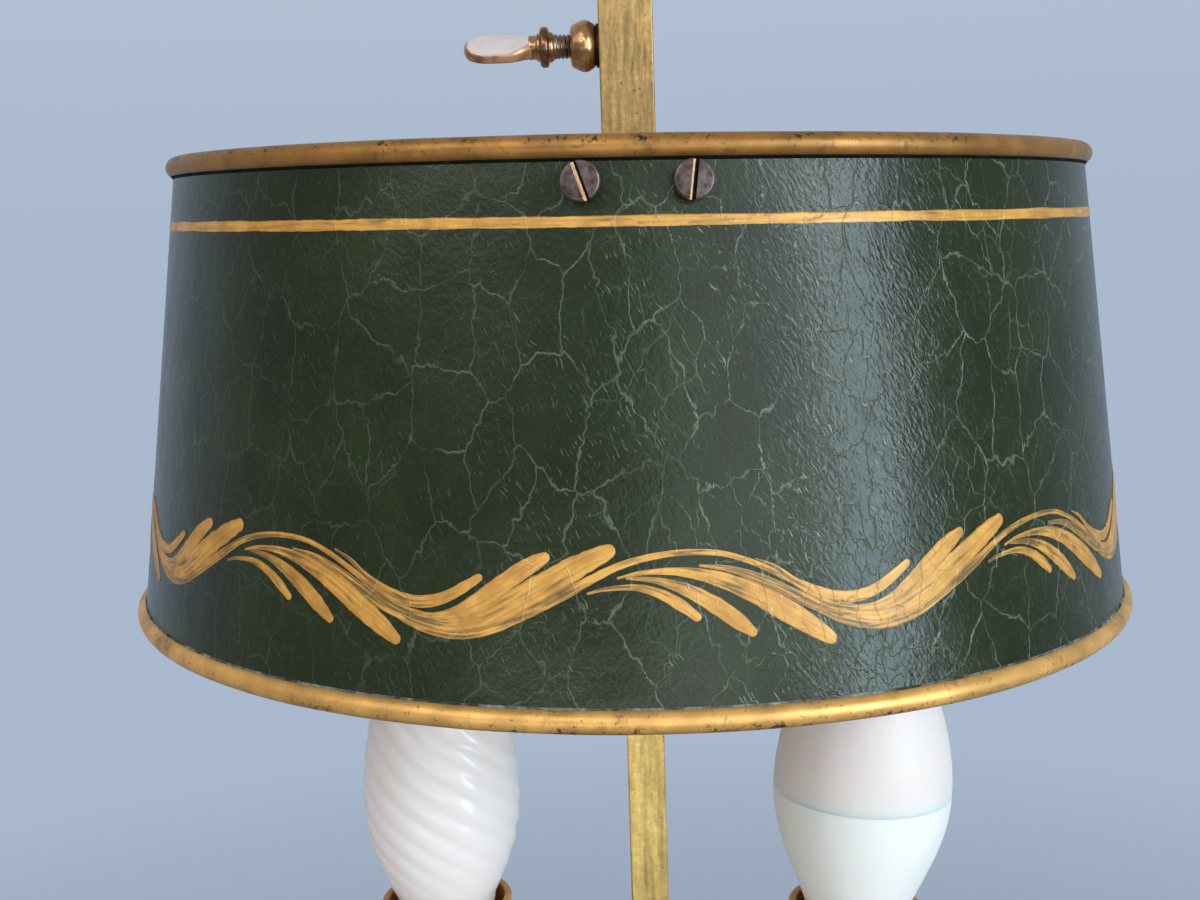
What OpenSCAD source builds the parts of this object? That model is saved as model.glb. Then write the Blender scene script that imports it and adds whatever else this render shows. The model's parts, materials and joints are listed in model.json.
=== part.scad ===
// Two-light bouillotte lamp: weighted base, turned column, scroll arms with candle lights,
// and a lacquered drum shade that slides on a square rod and is held by a thumb screw.
// Origin at the middle of the underside; +Z up; -Y is the front; millimetres.

/* [Shade] */
// Radius to the middle of the bottom rim wire
shade_bottom_r = 99; // [94:0.5:104]
// Radius to the middle of the top rim wire
shade_top_r = 89.1; // [84:0.5:93]
// Height between the middles of the two rim wires
shade_h = 85.4; // [76:0.2:95]
// Height of the bottom rim wire above the table
shade_z = 243.6; // [238:0.2:250]
// Thickness of the shade's sheet
shade_wall = 0.8; // [0.5:0.1:1.5]
// Thickness of the rim wires
rim_wire_d = 3.9; // [3:0.1:5]
// Sideways offset of the shade from the rod
shade_offset = -1.9; // [-4:0.1:4]
// Sideways lean of the shade on its bracket, in degrees
shade_lean = 0.9; // [0:0.1:2]

/* [Shade bracket and screws] */
// Thickness of the bracket strap
strap_t = 2; // [1.5:0.1:3]
// Width of the strap
strap_w = 14; // [13:0.5:18]
// Width of the tabs against the shade
tab_w = 26; // [24:0.5:32]
// Height of the tabs below their screws
tab_below = 5.5; // [4.5:0.1:8]
// Height of the tabs above their screws
tab_above = 3; // [2.4:0.1:3.1]
// Distance between the two screws of a tab
screw_spacing = 16.2; // [14:0.2:18]
// Distance of the screws below the top rim wire
screw_drop = 5.4; // [5:0.1:8]
// Diameter of a screw head
screw_head_d = 6; // [5:0.1:7]
// Height of a screw head
screw_head_h = 2.2; // [1.5:0.1:3]
// Distance that a head stands off the shade
screw_standoff = 1.2; // [0:0.1:2]
// Thread diameter of a shade screw
screw_d = 3; // [2.5:0.1:4]
// Width of the slot in a head
screw_slot_w = 0.8; // [0.5:0.1:1.2]
// Depth of the slot in a head
screw_slot_depth = 1; // [0.5:0.1:1.4]

/* [Rod, sleeve and thumb screw] */
// Width of the square rod
rod_w = 8; // [7:0.1:9]
// Height of the rod's top above the table
rod_top_z = 402; // [400:1:430]
// Wall of the sleeve
sleeve_wall = 1.3; // [1:0.1:2]
// Length of the sleeve
sleeve_l = 52; // [46:0.5:56]
// Height of the thumb screw above the top rim wire
thumb_rise = 23.9; // [20:0.1:26]
// Diameter of the thumb screw's thread
thumb_d = 5; // [4:0.1:6]
// Diameter of the boss on the sleeve
boss_d = 10.3; // [9:0.1:12]
// Length of the boss
boss_l = 5.8; // [5:0.1:8]
// Thread that shows between boss and collar
thumb_gap = 4.1; // [3.5:0.1:6]
// Diameter of the thumb screw's collar
collar_d = 8.1; // [7:0.1:9.5]
// Thickness of the collar
collar_t = 2.6; // [2:0.1:4]
// Length of the neck between collar and wing
thumb_neck_l = 1.4; // [1:0.1:3]
// Length of the wing
wing_l = 13.4; // [10:0.1:18]
// Width of the wing
wing_w = 9; // [7:0.1:12]
// Thickness of the wing
wing_t = 2.8; // [2:0.1:4]
// Tilt of the wing about the screw, in degrees
wing_tilt = 35; // [0:1:60]
// Length of the pressure pad
pad_l = 1.6; // [1:0.1:2]

/* [Finial] */
// Height of the finial's turned body
finial_h = 24; // [18:0.5:32]
// Radius of the finial's widest part
finial_r = 8.5; // [7:0.1:10]
// Radius to the middle of the carrying ring's wire
ring_r = 12.5; // [10:0.5:16]
// Thickness of the carrying ring's wire
ring_wire_d = 3.6; // [3:0.1:4.5]

/* [Base] */
// Radius of the dish at its foot
dish_r = 76; // [72:0.5:84]
// Height of the dish's floor
dish_floor_z = 21.4; // [20:0.2:26]
// Rise of the rim above the floor
dish_rim_rise = 4; // [3:0.2:5]
// Thickness of the dish's sheet
dish_wall = 1.2; // [0.8:0.1:1.6]
// Thickness of the felt
felt_t = 2; // [1:0.1:3]
// Clearance between neighbouring parts of the base
base_gap = 0.3; // [0.2:0.05:0.5]
// Radius of the recess for the nut
recess_r = 15; // [14:0.2:17]
// Height of the recess above the felt
recess_h = 12; // [11.5:0.1:12.5]
// Width of the channel for the cord
channel_w = 22; // [20:0.5:24]
// Height of the channel for the cord
channel_h = 8.5; // [8:0.1:9]
// Diameter of the cord that the gland takes
cord_d = 6.6; // [5.5:0.1:7]

/* [Column and hub] */
// Outer diameter of the threaded tube
tube_d = 10; // [9.5:0.1:10.5]
// Bore of the threaded tube
tube_bore = 7; // [6.6:0.1:7.4]
// Radius of the column's foot
column_foot_r = 17; // [15:0.5:19]
// Radius of the column's bulge
column_bulge_r = 10.5; // [9:0.1:12]
// Radius of the hub
hub_r = 13; // [12:0.2:15]
// Height of the hub
hub_h = 20; // [19:0.2:22]
// Height of the arms' axis at the hub
port_z = 118.5; // [116:0.5:122]
// Height of the domed cap on the hub
cap_h = 6; // [5:0.2:8]

/* [Arms and lights] */
// Distance of the left light from the stem
left_reach = 45.8; // [43:0.1:50]
// Distance of the right arm's bend from the stem
right_reach = 42.3; // [41:0.1:46]
// Straight end of the left arm
left_stem = 1.2; // [0.5:0.1:8]
// Straight end of the right arm
right_stem = 5; // [0.5:0.1:8]
// Turn of the arms from the shade's screws, in degrees
arm_turn = -8.5; // [-20:0.1:20]
// Outward lean of the right light, in degrees
right_lean = 3.1; // [0:0.1:6]
// Outer diameter of the arm tubes
arm_d = 7.2; // [6.6:0.1:8]
// Bore of the arm tubes
arm_bore = 4.8; // [4.2:0.1:5]
// Bend radius of the dip beside the hub
dip_r = 8; // [7:0.1:9]
// Sweep of the dip beside the hub, in degrees
dip_sweep = 40; // [30:1:45]
// Radius of the drip pans
pan_r = 20; // [18:0.2:22]
// Outer radius of the cup's rim
cup_r = 14.4; // [14:0.1:15.5]
// Height of the cup
cup_h = 36; // [34:0.2:38]
// Wall of the cup at its rim
cup_wall = 1.6; // [1.2:0.1:1.8]
// Thickness of one lead
lead_d = 1.6; // [1.2:0.1:1.7]

/* [Bulbs] */
// Outer diameter of the bulbs' screw caps
bulb_cap_d = 13.8; // [13.5:0.05:13.9]
// Widest radius of the twisted bulb
flame_r = 17.5; // [16:0.1:18.5]
// Height of the twisted bulb's widest part above the cup
flame_wide = 23.3; // [20:0.1:28]
// Height of the twisted bulb's tip above the cup
flame_tip = 76; // [70:0.5:80]
// Number of flutes round the twisted bulb
flute_count = 7; // [5:1:9]
// Twist of the flutes along the bulb, in degrees per millimetre
flute_twist = 4.6; // [2:0.1:6]
// Depth of the flutes
flute_depth = 1.1; // [0.5:0.1:1.6]
// Widest radius of the plastic bulb, at its seam
led_r = 18.75; // [17:0.05:19.5]
// Height of the plastic bulb's seam above the cup
led_seam = 26.5; // [22:0.1:30]
// Height of the plastic bulb's tip above the cup
led_tip = 72; // [66:0.5:78]
// Radius of both bulbs where they enter the cups
bulb_neck_r = 10.9; // [10.5:0.1:11.5]

/* [Hidden] */
$fn = 96;

// Clearances that more than one piece uses
run_fit = 0.05;       // round shaft in its bore, on the radius
rod_fit = 0.15;       // sleeve on the rod, each side
seat_gap = 0.05;      // parts of one body that are soldered or screwed face to face
free_gap = 0.3;       // parts that move past each other

// Stack of the base, from the table up
weight_z = felt_t + base_gap;
dish_under_z = dish_floor_z - dish_wall;
weight_top_z = dish_under_z - base_gap;
weight_r = dish_r - 10;
dish_foot_r = dish_r - 1.4;
recess_top_z = felt_t + recess_h;
washer_t = 1.5;
washer_d = 24;
nut_h = 4;
nut_corner_d = 16.2;
tube_bottom_z = recess_top_z - washer_t - nut_h - 0.5;
hub_z = port_z - hub_h / 2;
hub_top_z = hub_z + hub_h;
rod_z = hub_top_z + cap_h;
tube_top_z = port_z - 5;
chamber_r = 7;
chamber_h = 10;
tenon_r = 3;
column_h = hub_z - dish_floor_z;

// Switch in the base
switch_y = -30;
switch_size = [20, 14, 12];
switch_bush_r = 5;
switch_shaft_r = 2.9;
switch_nut_r = 7;
switch_nut_h = 1.6;
switch_bush_top_z = dish_floor_z + switch_nut_h + 1.2;
knob_r = 7;
knob_h = 11;
knob_z = switch_bush_top_z + free_gap;

// Terminal block behind the nut
block_size = [16, 12, 5];
block_y = recess_r + 3 + block_size.y / 2;
block_z = felt_t + 1.2;

// Arms
arm_start = hub_r + 1.5;
arm_inset = hub_r - chamber_r - 1;
flange_t = 2;
flange_r = 6;
nipple_r = 4.9;
nipple_h = 9;

// Lights, measured along the light from the arm's end
pan_t = 1.4;
pan_rise = 3.6;
cup_floor = 2;
cup_z = flange_t + pan_t + seat_gap;
cup_top = cup_z + cup_h;
holder_z = cup_z + cup_floor + seat_gap;
holder_r = 9.6;
cup_foot_r = holder_r + 1.4;
holder_h = 25;
holder_floor = 4;
cap_r = bulb_cap_d / 2;
cap_fit = 0.25;
shell_t = 0.5;
shell_in_r = cap_r + cap_fit;
shell_out_r = shell_in_r + shell_t;
bulb_bottom = holder_z + holder_floor + 2;
button_h = 1.2;
insulator_h = 2;
cap_z = bulb_bottom + button_h + insulator_h;
cap_l = cup_top - 9 - cap_z;
cap_wall = 0.4;
glass_z = cap_z + cap_l;
glass_wall = 0.9;
plastic_wall = 1.2;
board_t = 1.6;
board_z = cup_top + led_seam - board_t - 1;
ledge_r = led_r - 4;
ledge_t = 1.2;

// Shade, measured from the bottom rim wire along the shade's own axis
rim_wire_r = rim_wire_d / 2;
screw_h = shade_h - screw_drop;
cone_angle = atan((shade_bottom_r - shade_top_r) / shade_h);
shade_top_z = shade_z + shade_h;
strap_h = screw_h - tab_below;
head_front = shade_wall / 2 + screw_standoff + screw_head_h;
screw_l = head_front + shade_wall / 2 + strap_t + 1.5;

// Sleeve and thumb screw
sleeve_w = rod_w + 2 * rod_fit + 2 * sleeve_wall;
sleeve_z = shade_z + strap_h - strap_t - 1;
thumb_z = shade_top_z + thumb_rise;
boss_end = sleeve_w / 2 + boss_l;
collar_start = boss_end + thumb_gap;
neck_start = collar_start + collar_t;
wing_start = neck_start + thumb_neck_l;
pad_start = rod_w / 2 + seat_gap;
thread_start = pad_start + pad_l + seat_gap;

shade_colour = [0.15, 0.20, 0.15];
gilt_colour = [0.75, 0.58, 0.30];
brass_colour = [0.56, 0.47, 0.26];
pale_brass_colour = [0.78, 0.66, 0.36];
copper_colour = [0.68, 0.45, 0.28];
iron_colour = [0.25, 0.25, 0.26];
steel_colour = [0.65, 0.66, 0.68];
dark_colour = [0.14, 0.11, 0.10];
white_colour = [0.92, 0.92, 0.90];
tin_colour = [0.75, 0.75, 0.76];

// ---- Outlines -------------------------------------------------------------------------

// Smooth S from one point to another, in radius and height
function ogee(a, b, n = 8) =
    [for (i = [0:n]) [a.x + (b.x - a.x) * (1 - cos(180 * i / n)) / 2, a.y + (b.y - a.y) * i / n]];

// Half-round bead that stands out from a radius, from height z0 to z1
function bead(r, z0, z1, out, n = 8) =
    [for (i = [0:n]) [r + out * sin(180 * i / n), z0 + (z1 - z0) * (1 - cos(180 * i / n)) / 2]];

function unit(v) = v / norm(v);

// The same line moved sideways by d, to its right as it runs
function beside(line, d) =
    [for (i = [0:len(line) - 1])
        let (t = unit(line[min(i + 1, len(line) - 1)] - line[max(i - 1, 0)]))
        [line[i].x + d * t.y, line[i].y - d * t.x]];

function reversed(list) = [for (i = [len(list) - 1:-1:0]) list[i]];

// Turned sheet of thickness t to the right of a line
module turned_sheet(line, t) {
    rotate_extrude() polygon(concat(line, reversed(beside(line, t))));
}

// ---- Swept tubes ----------------------------------------------------------------------

// Circle of points round each point of a path; side_v is never along the path
function sweep_rings(points, d, sides, side_v) =
    let (last = len(points) - 1)
    [for (i = [0:last])
        let (t = unit(points[min(i + 1, last)] - points[max(i - 1, 0)]),
             u = unit(cross(side_v, t)),
             v = cross(t, u))
        [for (k = [0:sides - 1]) let (a = 360 * k / sides) points[i] + d / 2 * (cos(a) * u + sin(a) * v)]];

// Two triangles between each neighbouring pair of points of two rings
function band_faces(i, j, n) = [for (k = [0:n - 1])
    let (a = i * n + k, b = i * n + (k + 1) % n, c = j * n + k, d = j * n + (k + 1) % n)
    each [[a, d, b], [a, c, d]]];

// Closed solid through rings of n points each
module ring_solid(rings, n) {
    last = len(rings) - 1;
    sides = [for (i = [0:last - 1]) each band_faces(i, i + 1, n)];
    start_cap = [for (k = [0:n - 1]) k];
    end_cap = [for (k = [n - 1:-1:0]) last * n + k];
    polyhedron([for (r = rings) each r], concat(sides, [start_cap, end_cap]), convexity = 6);
}

lead_sides = 8;
module lead(points, d) {
    ring_solid(sweep_rings(points, d, lead_sides, unit([1, -1, 0])), lead_sides);
}

// Hollow tube along a path in the XZ plane
module swept_pipe(points, d, bore, n) {
    outside = sweep_rings(points, d, n, [0, 1, 0]);
    inside = sweep_rings(points, bore, n, [0, 1, 0]);
    loop = concat(outside, reversed(inside));
    faces = [for (i = [0:len(loop) - 1]) each band_faces(i, (i + 1) % len(loop), n)];
    polyhedron([for (r = loop) each r], faces, convexity = 6);
}

// Points of an arc in the XZ plane, from angle a0 to a1
function arc_xz(centre, r, a0, a1, n) =
    [for (i = [0:n]) let (a = a0 + (a1 - a0) * i / n) [centre.x + r * cos(a), 0, centre.y + r * sin(a)]];

function turn_y(p, a) = [p.x * cos(a) + p.z * sin(a), p.y, -p.x * sin(a) + p.z * cos(a)];
function turn_z(p, a) = [p.x * cos(a) - p.y * sin(a), p.x * sin(a) + p.y * cos(a), p.z];

// ---- Arms and the frames of the two lights; side is -1 on the left and 1 on the right ---

function reach(side) = side > 0 ? right_reach : left_reach;
function stem(side) = side > 0 ? right_stem : left_stem;
function lean(side) = side > 0 ? right_lean : 0;
function turn(side) = side > 0 ? arm_turn : arm_turn + 180;

function rise_r(side) = (reach(side) - arm_start - dip_r * sin(dip_sweep)) / (1 + sin(dip_sweep));
function rise_centre(side) =
    [arm_start + (dip_r + rise_r(side)) * sin(dip_sweep),
     -dip_r * (1 - cos(dip_sweep)) + rise_r(side) * cos(dip_sweep)];
function arm_end(side) =
    [rise_centre(side).x + rise_r(side) * cos(lean(side)) + stem(side) * sin(lean(side)), 0,
     rise_centre(side).y - rise_r(side) * sin(lean(side)) + stem(side) * cos(lean(side))];

// Frame of an arm: X runs out of the hub along the arm's axis
module on_arm(side) {
    rotate([0, 0, turn(side)]) translate([0, 0, port_z]) children();
}

// Frame of a light: Z runs up the candle cup from the arm's end
module on_light(side) {
    on_arm(side) translate(arm_end(side)) rotate([0, lean(side), 0]) children();
}

function arm_to_lamp(p, side) = turn_z(p + [0, 0, port_z], turn(side));
function light_to_arm(p, side) = turn_y(p, lean(side)) + arm_end(side);

module pipe(d, bore, h) {
    difference() {
        cylinder(d = d, h = h);
        translate([0, 0, -1]) cylinder(d = bore, h = h + 2);
    }
}

function dip_points(n) = arc_xz([arm_start, -dip_r], dip_r, 90, 90 - dip_sweep, n);
function rise_points(side, n) =
    [for (i = [1:n]) arc_xz(rise_centre(side), rise_r(side), 270 - dip_sweep, 360 - lean(side), n)[i]];

// Bent tube from the hub's chamber to the light
arm_sides = 28;
module arm(side) {
    color(brass_colour) on_arm(side)
        swept_pipe(concat([[hub_r - arm_inset, 0, 0]], dip_points(6), rise_points(side, 18), [arm_end(side)]),
            arm_d, arm_bore, arm_sides);
}

// Flanged nipple that clamps pan, cup and lampholder on the arm
module nipple(side) {
    color(brass_colour) on_light(side) {
        translate([0, 0, seat_gap]) pipe(2 * flange_r, arm_bore, flange_t - seat_gap);
        translate([0, 0, flange_t - 0.5]) pipe(2 * nipple_r, arm_bore, nipple_h - flange_t + 0.5);
    }
}

module drip_pan(side) {
    floor_r = pan_r - 6;
    line = concat(
        [[nipple_r + run_fit, 0], [floor_r, 0]],
        ogee([floor_r + 1, 0.3], [pan_r - 1.2, pan_rise - 0.6]),
        [[pan_r, pan_rise]]);
    color(gilt_colour) on_light(side) translate([0, 0, flange_t + pan_t]) turned_sheet(line, pan_t);
}

// Outer line of the candle cup, from its foot to its rim
function cup_line() = concat(
    [[cup_foot_r, 0]],
    bead(cup_foot_r, 0.4, 3, 1.4, 6),
    ogee([cup_foot_r, 4], [cup_r - 1, 15]),
    [[cup_r - 0.9, cup_h - 3.4], [cup_r, cup_h - 2.4], [cup_r, cup_h]]);

module cup(side) {
    inner_r = cup_r - cup_wall;
    color(gilt_colour) on_light(side) translate([0, 0, cup_z]) difference() {
        rotate_extrude() polygon(concat([[0, 0]], cup_line(), [[0, cup_h]]));
        translate([0, 0, -1]) cylinder(r = nipple_r + run_fit, h = cup_h);
        rotate_extrude() polygon(concat(
            [[0, cup_floor], [holder_r + 0.1, cup_floor]],
            [[holder_r + 0.1, 9]], ogee([holder_r + 0.2, 10], [inner_r, 17]),
            [[inner_r, cup_h + 1], [0, cup_h + 1]]));
    }
}

// Insulating body of the lampholder, screwed on the arm's nipple
module holder_body(side) {
    color(white_colour) on_light(side) difference() {
        translate([0, 0, holder_z]) cylinder(r = holder_r, h = holder_h);
        translate([0, 0, holder_z + holder_floor]) cylinder(r = shell_out_r + seat_gap, h = holder_h);
        translate([0, 0, holder_z - 1])
            cylinder(r = nipple_r + run_fit, h = 1 + nipple_h + seat_gap - holder_z);
        translate([0, 0, holder_z - 1]) cylinder(d = arm_bore, h = holder_floor + 2);
    }
}

// Threaded shell that the bulb screws into
module holder_shell(side) {
    color(brass_colour) on_light(side) translate([0, 0, holder_z + holder_floor + seat_gap])
        pipe(2 * shell_out_r, 2 * shell_in_r, holder_h - holder_floor - 1);
}

// Sprung centre contact, bent from strip
module holder_contact(side) {
    tongue_z = holder_z + holder_floor + seat_gap;
    contact_t = 0.4;
    color(pale_brass_colour) on_light(side) {
        translate([arm_bore / 2 + 0.2, -2, tongue_z]) cube([3.6, 4, contact_t]);
        translate([arm_bore / 2 + 0.2, -2, tongue_z]) cube([contact_t, 4, bulb_bottom - tongue_z - 0.1]);
        translate([-2, -2, bulb_bottom - contact_t - 0.1])
            cube([arm_bore / 2 + 2.2 + contact_t, 4, contact_t]);
    }
}

// ---- Leads from the base to a light -----------------------------------------------------

lead_out = 1;        // distance of a lead from the stem's axis
lead_apart = 1.9;    // distance between the two leads of a light
lead_bend_r = 3;
port_bend_r = 4;

// Path of one lead: k is -1 or 1 and picks the lead of the pair
function lead_path(side, k) =
    let (shift = [0, k * lead_apart / 2, 0],
         foot = turn_z([lead_out, k * lead_apart / 2, 0], turn(side)),
         bend_z = block_z + block_size.z / 2 + sign(foot.y) * lead_apart / 2,
         block_face = block_y - block_size.y / 2 - seat_gap,
         below = [for (i = [6:-1:0]) let (a = 15 * i)
             [foot.x, foot.y + lead_bend_r * (1 - cos(a)), bend_z + lead_bend_r * (1 - sin(a))]],
         trunk = [for (z = [40, 80, tube_top_z]) [foot.x, foot.y, z]],
         to_arm = [for (i = [1:6])
             let (a = 15 * i, bend = port_bend_r * [1 - cos(a), 0, sin(a) - 1])
             arm_to_lamp(shift + [lead_out, 0, 0] + bend, side)],
         run = [for (p = concat(dip_points(4), rise_points(side, 12))) arm_to_lamp(p + shift, side)],
         top = [for (z = [4, holder_z + holder_floor - seat_gap])
             arm_to_lamp(light_to_arm([0, shift.y, z], side), side)])
    concat([[foot.x, block_face, bend_z]], below, trunk, to_arm, run, top);

module leads(side) {
    color(dark_colour) for (k = [-1, 1]) lead(lead_path(side, k), lead_d);
}

// ---- Base -----------------------------------------------------------------------------

module base_felt() {
    color([0.10, 0.22, 0.14]) cylinder(r = dish_foot_r - dish_wall - base_gap, h = felt_t);
}

module base_weight() {
    color(iron_colour) difference() {
        translate([0, 0, weight_z]) cylinder(r = weight_r, h = weight_top_z - weight_z);
        translate([0, 0, -1]) cylinder(d = tube_d + 2 * base_gap, h = dish_floor_z);
        translate([0, 0, -1]) cylinder(r = recess_r, h = 1 + recess_top_z);
        translate([-channel_w / 2, 0, -1]) cube([channel_w, weight_r + 1, 1 + weight_z + channel_h]);
        translate([-channel_w / 2, switch_y - switch_size.y / 2 - 1, -1])
            cube([channel_w, -switch_y, 1 + weight_z + channel_h]);
        translate([-channel_w / 2, switch_y - switch_size.y / 2 - 1, -1])
            cube([channel_w, switch_size.y + 2, dish_floor_z]);
    }
}

// Upper line of the spun dish, from the middle to the foot
function dish_line() = concat(
    [[tube_d / 2 + run_fit, dish_floor_z], [dish_r - 18, dish_floor_z]],
    ogee([dish_r - 17, dish_floor_z + 0.3], [dish_r - 12, dish_floor_z + dish_rim_rise - 1]),
    [for (i = [1:7]) let (a = 180 - 22.5 * i)
        [dish_r - 9.5 + 2.5 * cos(a), dish_floor_z + dish_rim_rise - 1 + 2 * sin(a)]],
    ogee([dish_r - 6.5, dish_floor_z + dish_rim_rise - 3.5], [dish_r - 1.5, 7]),
    bead(dish_r - 1.5, 6.2, 2.6, 1.5, 6),
    [[dish_foot_r, felt_t / 2]]);

module base_dish() {
    color(brass_colour) difference() {
        turned_sheet(dish_line(), dish_wall);
        translate([0, switch_y, dish_floor_z / 2]) cylinder(r = switch_bush_r + run_fit, h = dish_floor_z);
        translate([0, 0, gland_z]) rotate([-90, 0, 0]) cylinder(r = gland_r + run_fit, h = dish_r + 5);
    }
}

module base_washer() {
    color(steel_colour) translate([0, 0, recess_top_z - washer_t])
        pipe(washer_d, tube_d + 2 * run_fit, washer_t);
}

module base_nut() {
    color(steel_colour) translate([0, 0, recess_top_z - washer_t - nut_h]) difference() {
        cylinder(d = nut_corner_d, h = nut_h, $fn = 6);
        translate([0, 0, -1]) cylinder(d = tube_d + 2 * run_fit, h = nut_h + 2);
    }
}

module threaded_tube() {
    color(steel_colour) translate([0, 0, tube_bottom_z]) pipe(tube_d, tube_bore, tube_top_z - tube_bottom_z);
}

// Bushing through the dish's wall at the back
gland_r = cord_d / 2 + 1.5;
gland_z = weight_z + gland_r + 0.2;
gland_l = 12;
gland_flange_t = 2;
gland_y = dish_r + 0.6;
module cord_gland() {
    color(dark_colour) translate([0, gland_y, gland_z]) rotate([90, 0, 0]) difference() {
        union() {
            translate([0, 0, -gland_flange_t]) cylinder(r = gland_r + 1, h = gland_flange_t);
            cylinder(r = gland_r, h = gland_l - gland_flange_t);
        }
        translate([0, 0, -gland_flange_t - 1]) cylinder(d = cord_d, h = gland_l + 2);
    }
}

module terminal_block() {
    hole_d = 3.2;
    hole_x = block_size.x / 4;
    color(white_colour) difference() {
        translate([-block_size.x / 2, block_y - block_size.y / 2, block_z]) cube(block_size);
        for (x = [-hole_x, hole_x]) translate([x, block_y, block_z + 1]) cylinder(d = hole_d, h = block_size.z);
    }
}

module switch_body() {
    body_z = dish_under_z - seat_gap - switch_size.z;
    color(dark_colour) difference() {
        union() {
            translate([-switch_size.x / 2, switch_y - switch_size.y / 2, body_z]) cube(switch_size);
            translate([0, switch_y, body_z]) cylinder(r = switch_bush_r, h = switch_bush_top_z - body_z);
        }
        translate([0, switch_y, body_z + 3]) cylinder(r = switch_shaft_r + run_fit, h = dish_floor_z);
    }
}

module switch_nut() {
    color(brass_colour) translate([0, switch_y, dish_floor_z + seat_gap]) difference() {
        cylinder(r = switch_nut_r, h = switch_nut_h, $fn = 6);
        translate([0, 0, -1]) cylinder(r = switch_bush_r + run_fit, h = switch_nut_h + 2);
    }
}

// Knob and its shaft, which reaches down into the switch
module switch_knob() {
    shaft_z = dish_under_z - seat_gap - switch_size.z + 3 + free_gap;
    waist_r = 3.6;
    waist_z = 6.4;
    color(brass_colour) translate([0, switch_y, 0]) {
        translate([0, 0, shaft_z]) cylinder(r = switch_shaft_r, h = knob_z - shaft_z + 1);
        translate([0, 0, knob_z]) rotate_extrude() polygon(concat(
            [[0, 0], [knob_r - 0.8, 0]], bead(knob_r - 0.8, 0.2, 3, 0.8, 6),
            ogee([knob_r - 1.4, 3.6], [waist_r, waist_z]), bead(waist_r, waist_z + 0.2, knob_h, 1.4, 8),
            [[0, knob_h]]));
    }
}

// Two straight leads from the terminal block past the nut to the switch
module switch_leads() {
    lead_x = 7;
    tail = 3;
    z = block_z + block_size.z / 2;
    y0 = switch_y + switch_size.y / 2 + seat_gap;
    y1 = block_y - block_size.y / 2 - seat_gap;
    lift_z = dish_under_z - switch_size.z + 2;
    color(dark_colour) for (x = [-lead_x, lead_x])
        lead([[x, y0, lift_z], [x, y0 + tail, lift_z], [x, y0 + 2 * tail, z], [x, 0, z], [x, y1, z]], lead_d);
}

// ---- Column and hub -------------------------------------------------------------------

module column() {
    neck_r = 6.8;
    line = concat(
        [[column_foot_r - 1, 0]],
        bead(column_foot_r - 1, 0, 4, 1),
        ogee([column_foot_r - 2, 4.6], [neck_r + 1.6, 14]),
        bead(neck_r + 1, 14.6, 17.6, 2),
        ogee([neck_r, 18.2], [column_bulge_r, 34]),
        ogee([column_bulge_r, 36], [neck_r, column_h - 22], 12),
        bead(neck_r, column_h - 21, column_h - 18, 1.8),
        ogee([neck_r, column_h - 17.4], [neck_r + 0.6, column_h - 8]),
        bead(neck_r + 1, column_h - 7, column_h - 4, 2),
        [[neck_r + 1.4, column_h - 3.4], [hub_r - 3, column_h - 0.6], [hub_r - 3, column_h]]);
    color(brass_colour) translate([0, 0, dish_floor_z]) difference() {
        rotate_extrude() polygon(concat([[0, 0]], line, [[0, column_h]]));
        translate([0, 0, -1]) cylinder(d = tube_d + 2 * run_fit, h = column_h + 2);
    }
}

module hub() {
    port_r = arm_d / 2 + run_fit;
    line = concat(
        [[hub_r - 3, 0], [hub_r - 1.2, 0.8]],
        ogee([hub_r - 1.2, 1.6], [hub_r, 4]),
        [[hub_r, hub_h - 4]],
        ogee([hub_r, hub_h - 4], [hub_r - 1.2, hub_h - 1.6]),
        [[hub_r - 1.2, hub_h]]);
    color(brass_colour) difference() {
        translate([0, 0, hub_z]) rotate_extrude() polygon(concat([[0, 0]], line, [[0, hub_h]]));
        translate([0, 0, hub_z - 1]) cylinder(d = tube_d + 2 * run_fit, h = hub_h / 2);
        translate([0, 0, port_z - chamber_h / 2]) cylinder(r = chamber_r, h = chamber_h);
        translate([0, 0, port_z]) cylinder(r = tenon_r + run_fit, h = hub_h);
        for (side = [-1, 1]) on_arm(side) rotate([0, 90, 0]) cylinder(r = port_r, h = hub_r + 2);
    }
}

module hub_cap() {
    color(gilt_colour) translate([0, 0, hub_top_z]) difference() {
        rotate_extrude() polygon(concat(
            [[0, 0], [hub_r - 0.6, 0]], bead(hub_r - 0.6, 0, 2, 0.6, 6),
            ogee([hub_r - 1.4, 2.2], [rod_w / 2 + 2.6, cap_h]), [[0, cap_h]]));
        translate([0, 0, -1]) cylinder(r = tenon_r + run_fit, h = cap_h + 2);
    }
}

// ---- Rod and finial -------------------------------------------------------------------

finial_tenon_h = 9;
module rod() {
    color(pale_brass_colour) {
        translate([-rod_w / 2, -rod_w / 2, rod_z]) cube([rod_w, rod_w, rod_top_z - rod_z]);
        translate([0, 0, port_z + chamber_h / 2 - 1])
            cylinder(r = tenon_r, h = rod_z - port_z - chamber_h / 2 + 2);
        translate([0, 0, rod_top_z - 1]) cylinder(r = tenon_r, h = 1 + finial_tenon_h);
    }
}

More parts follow.
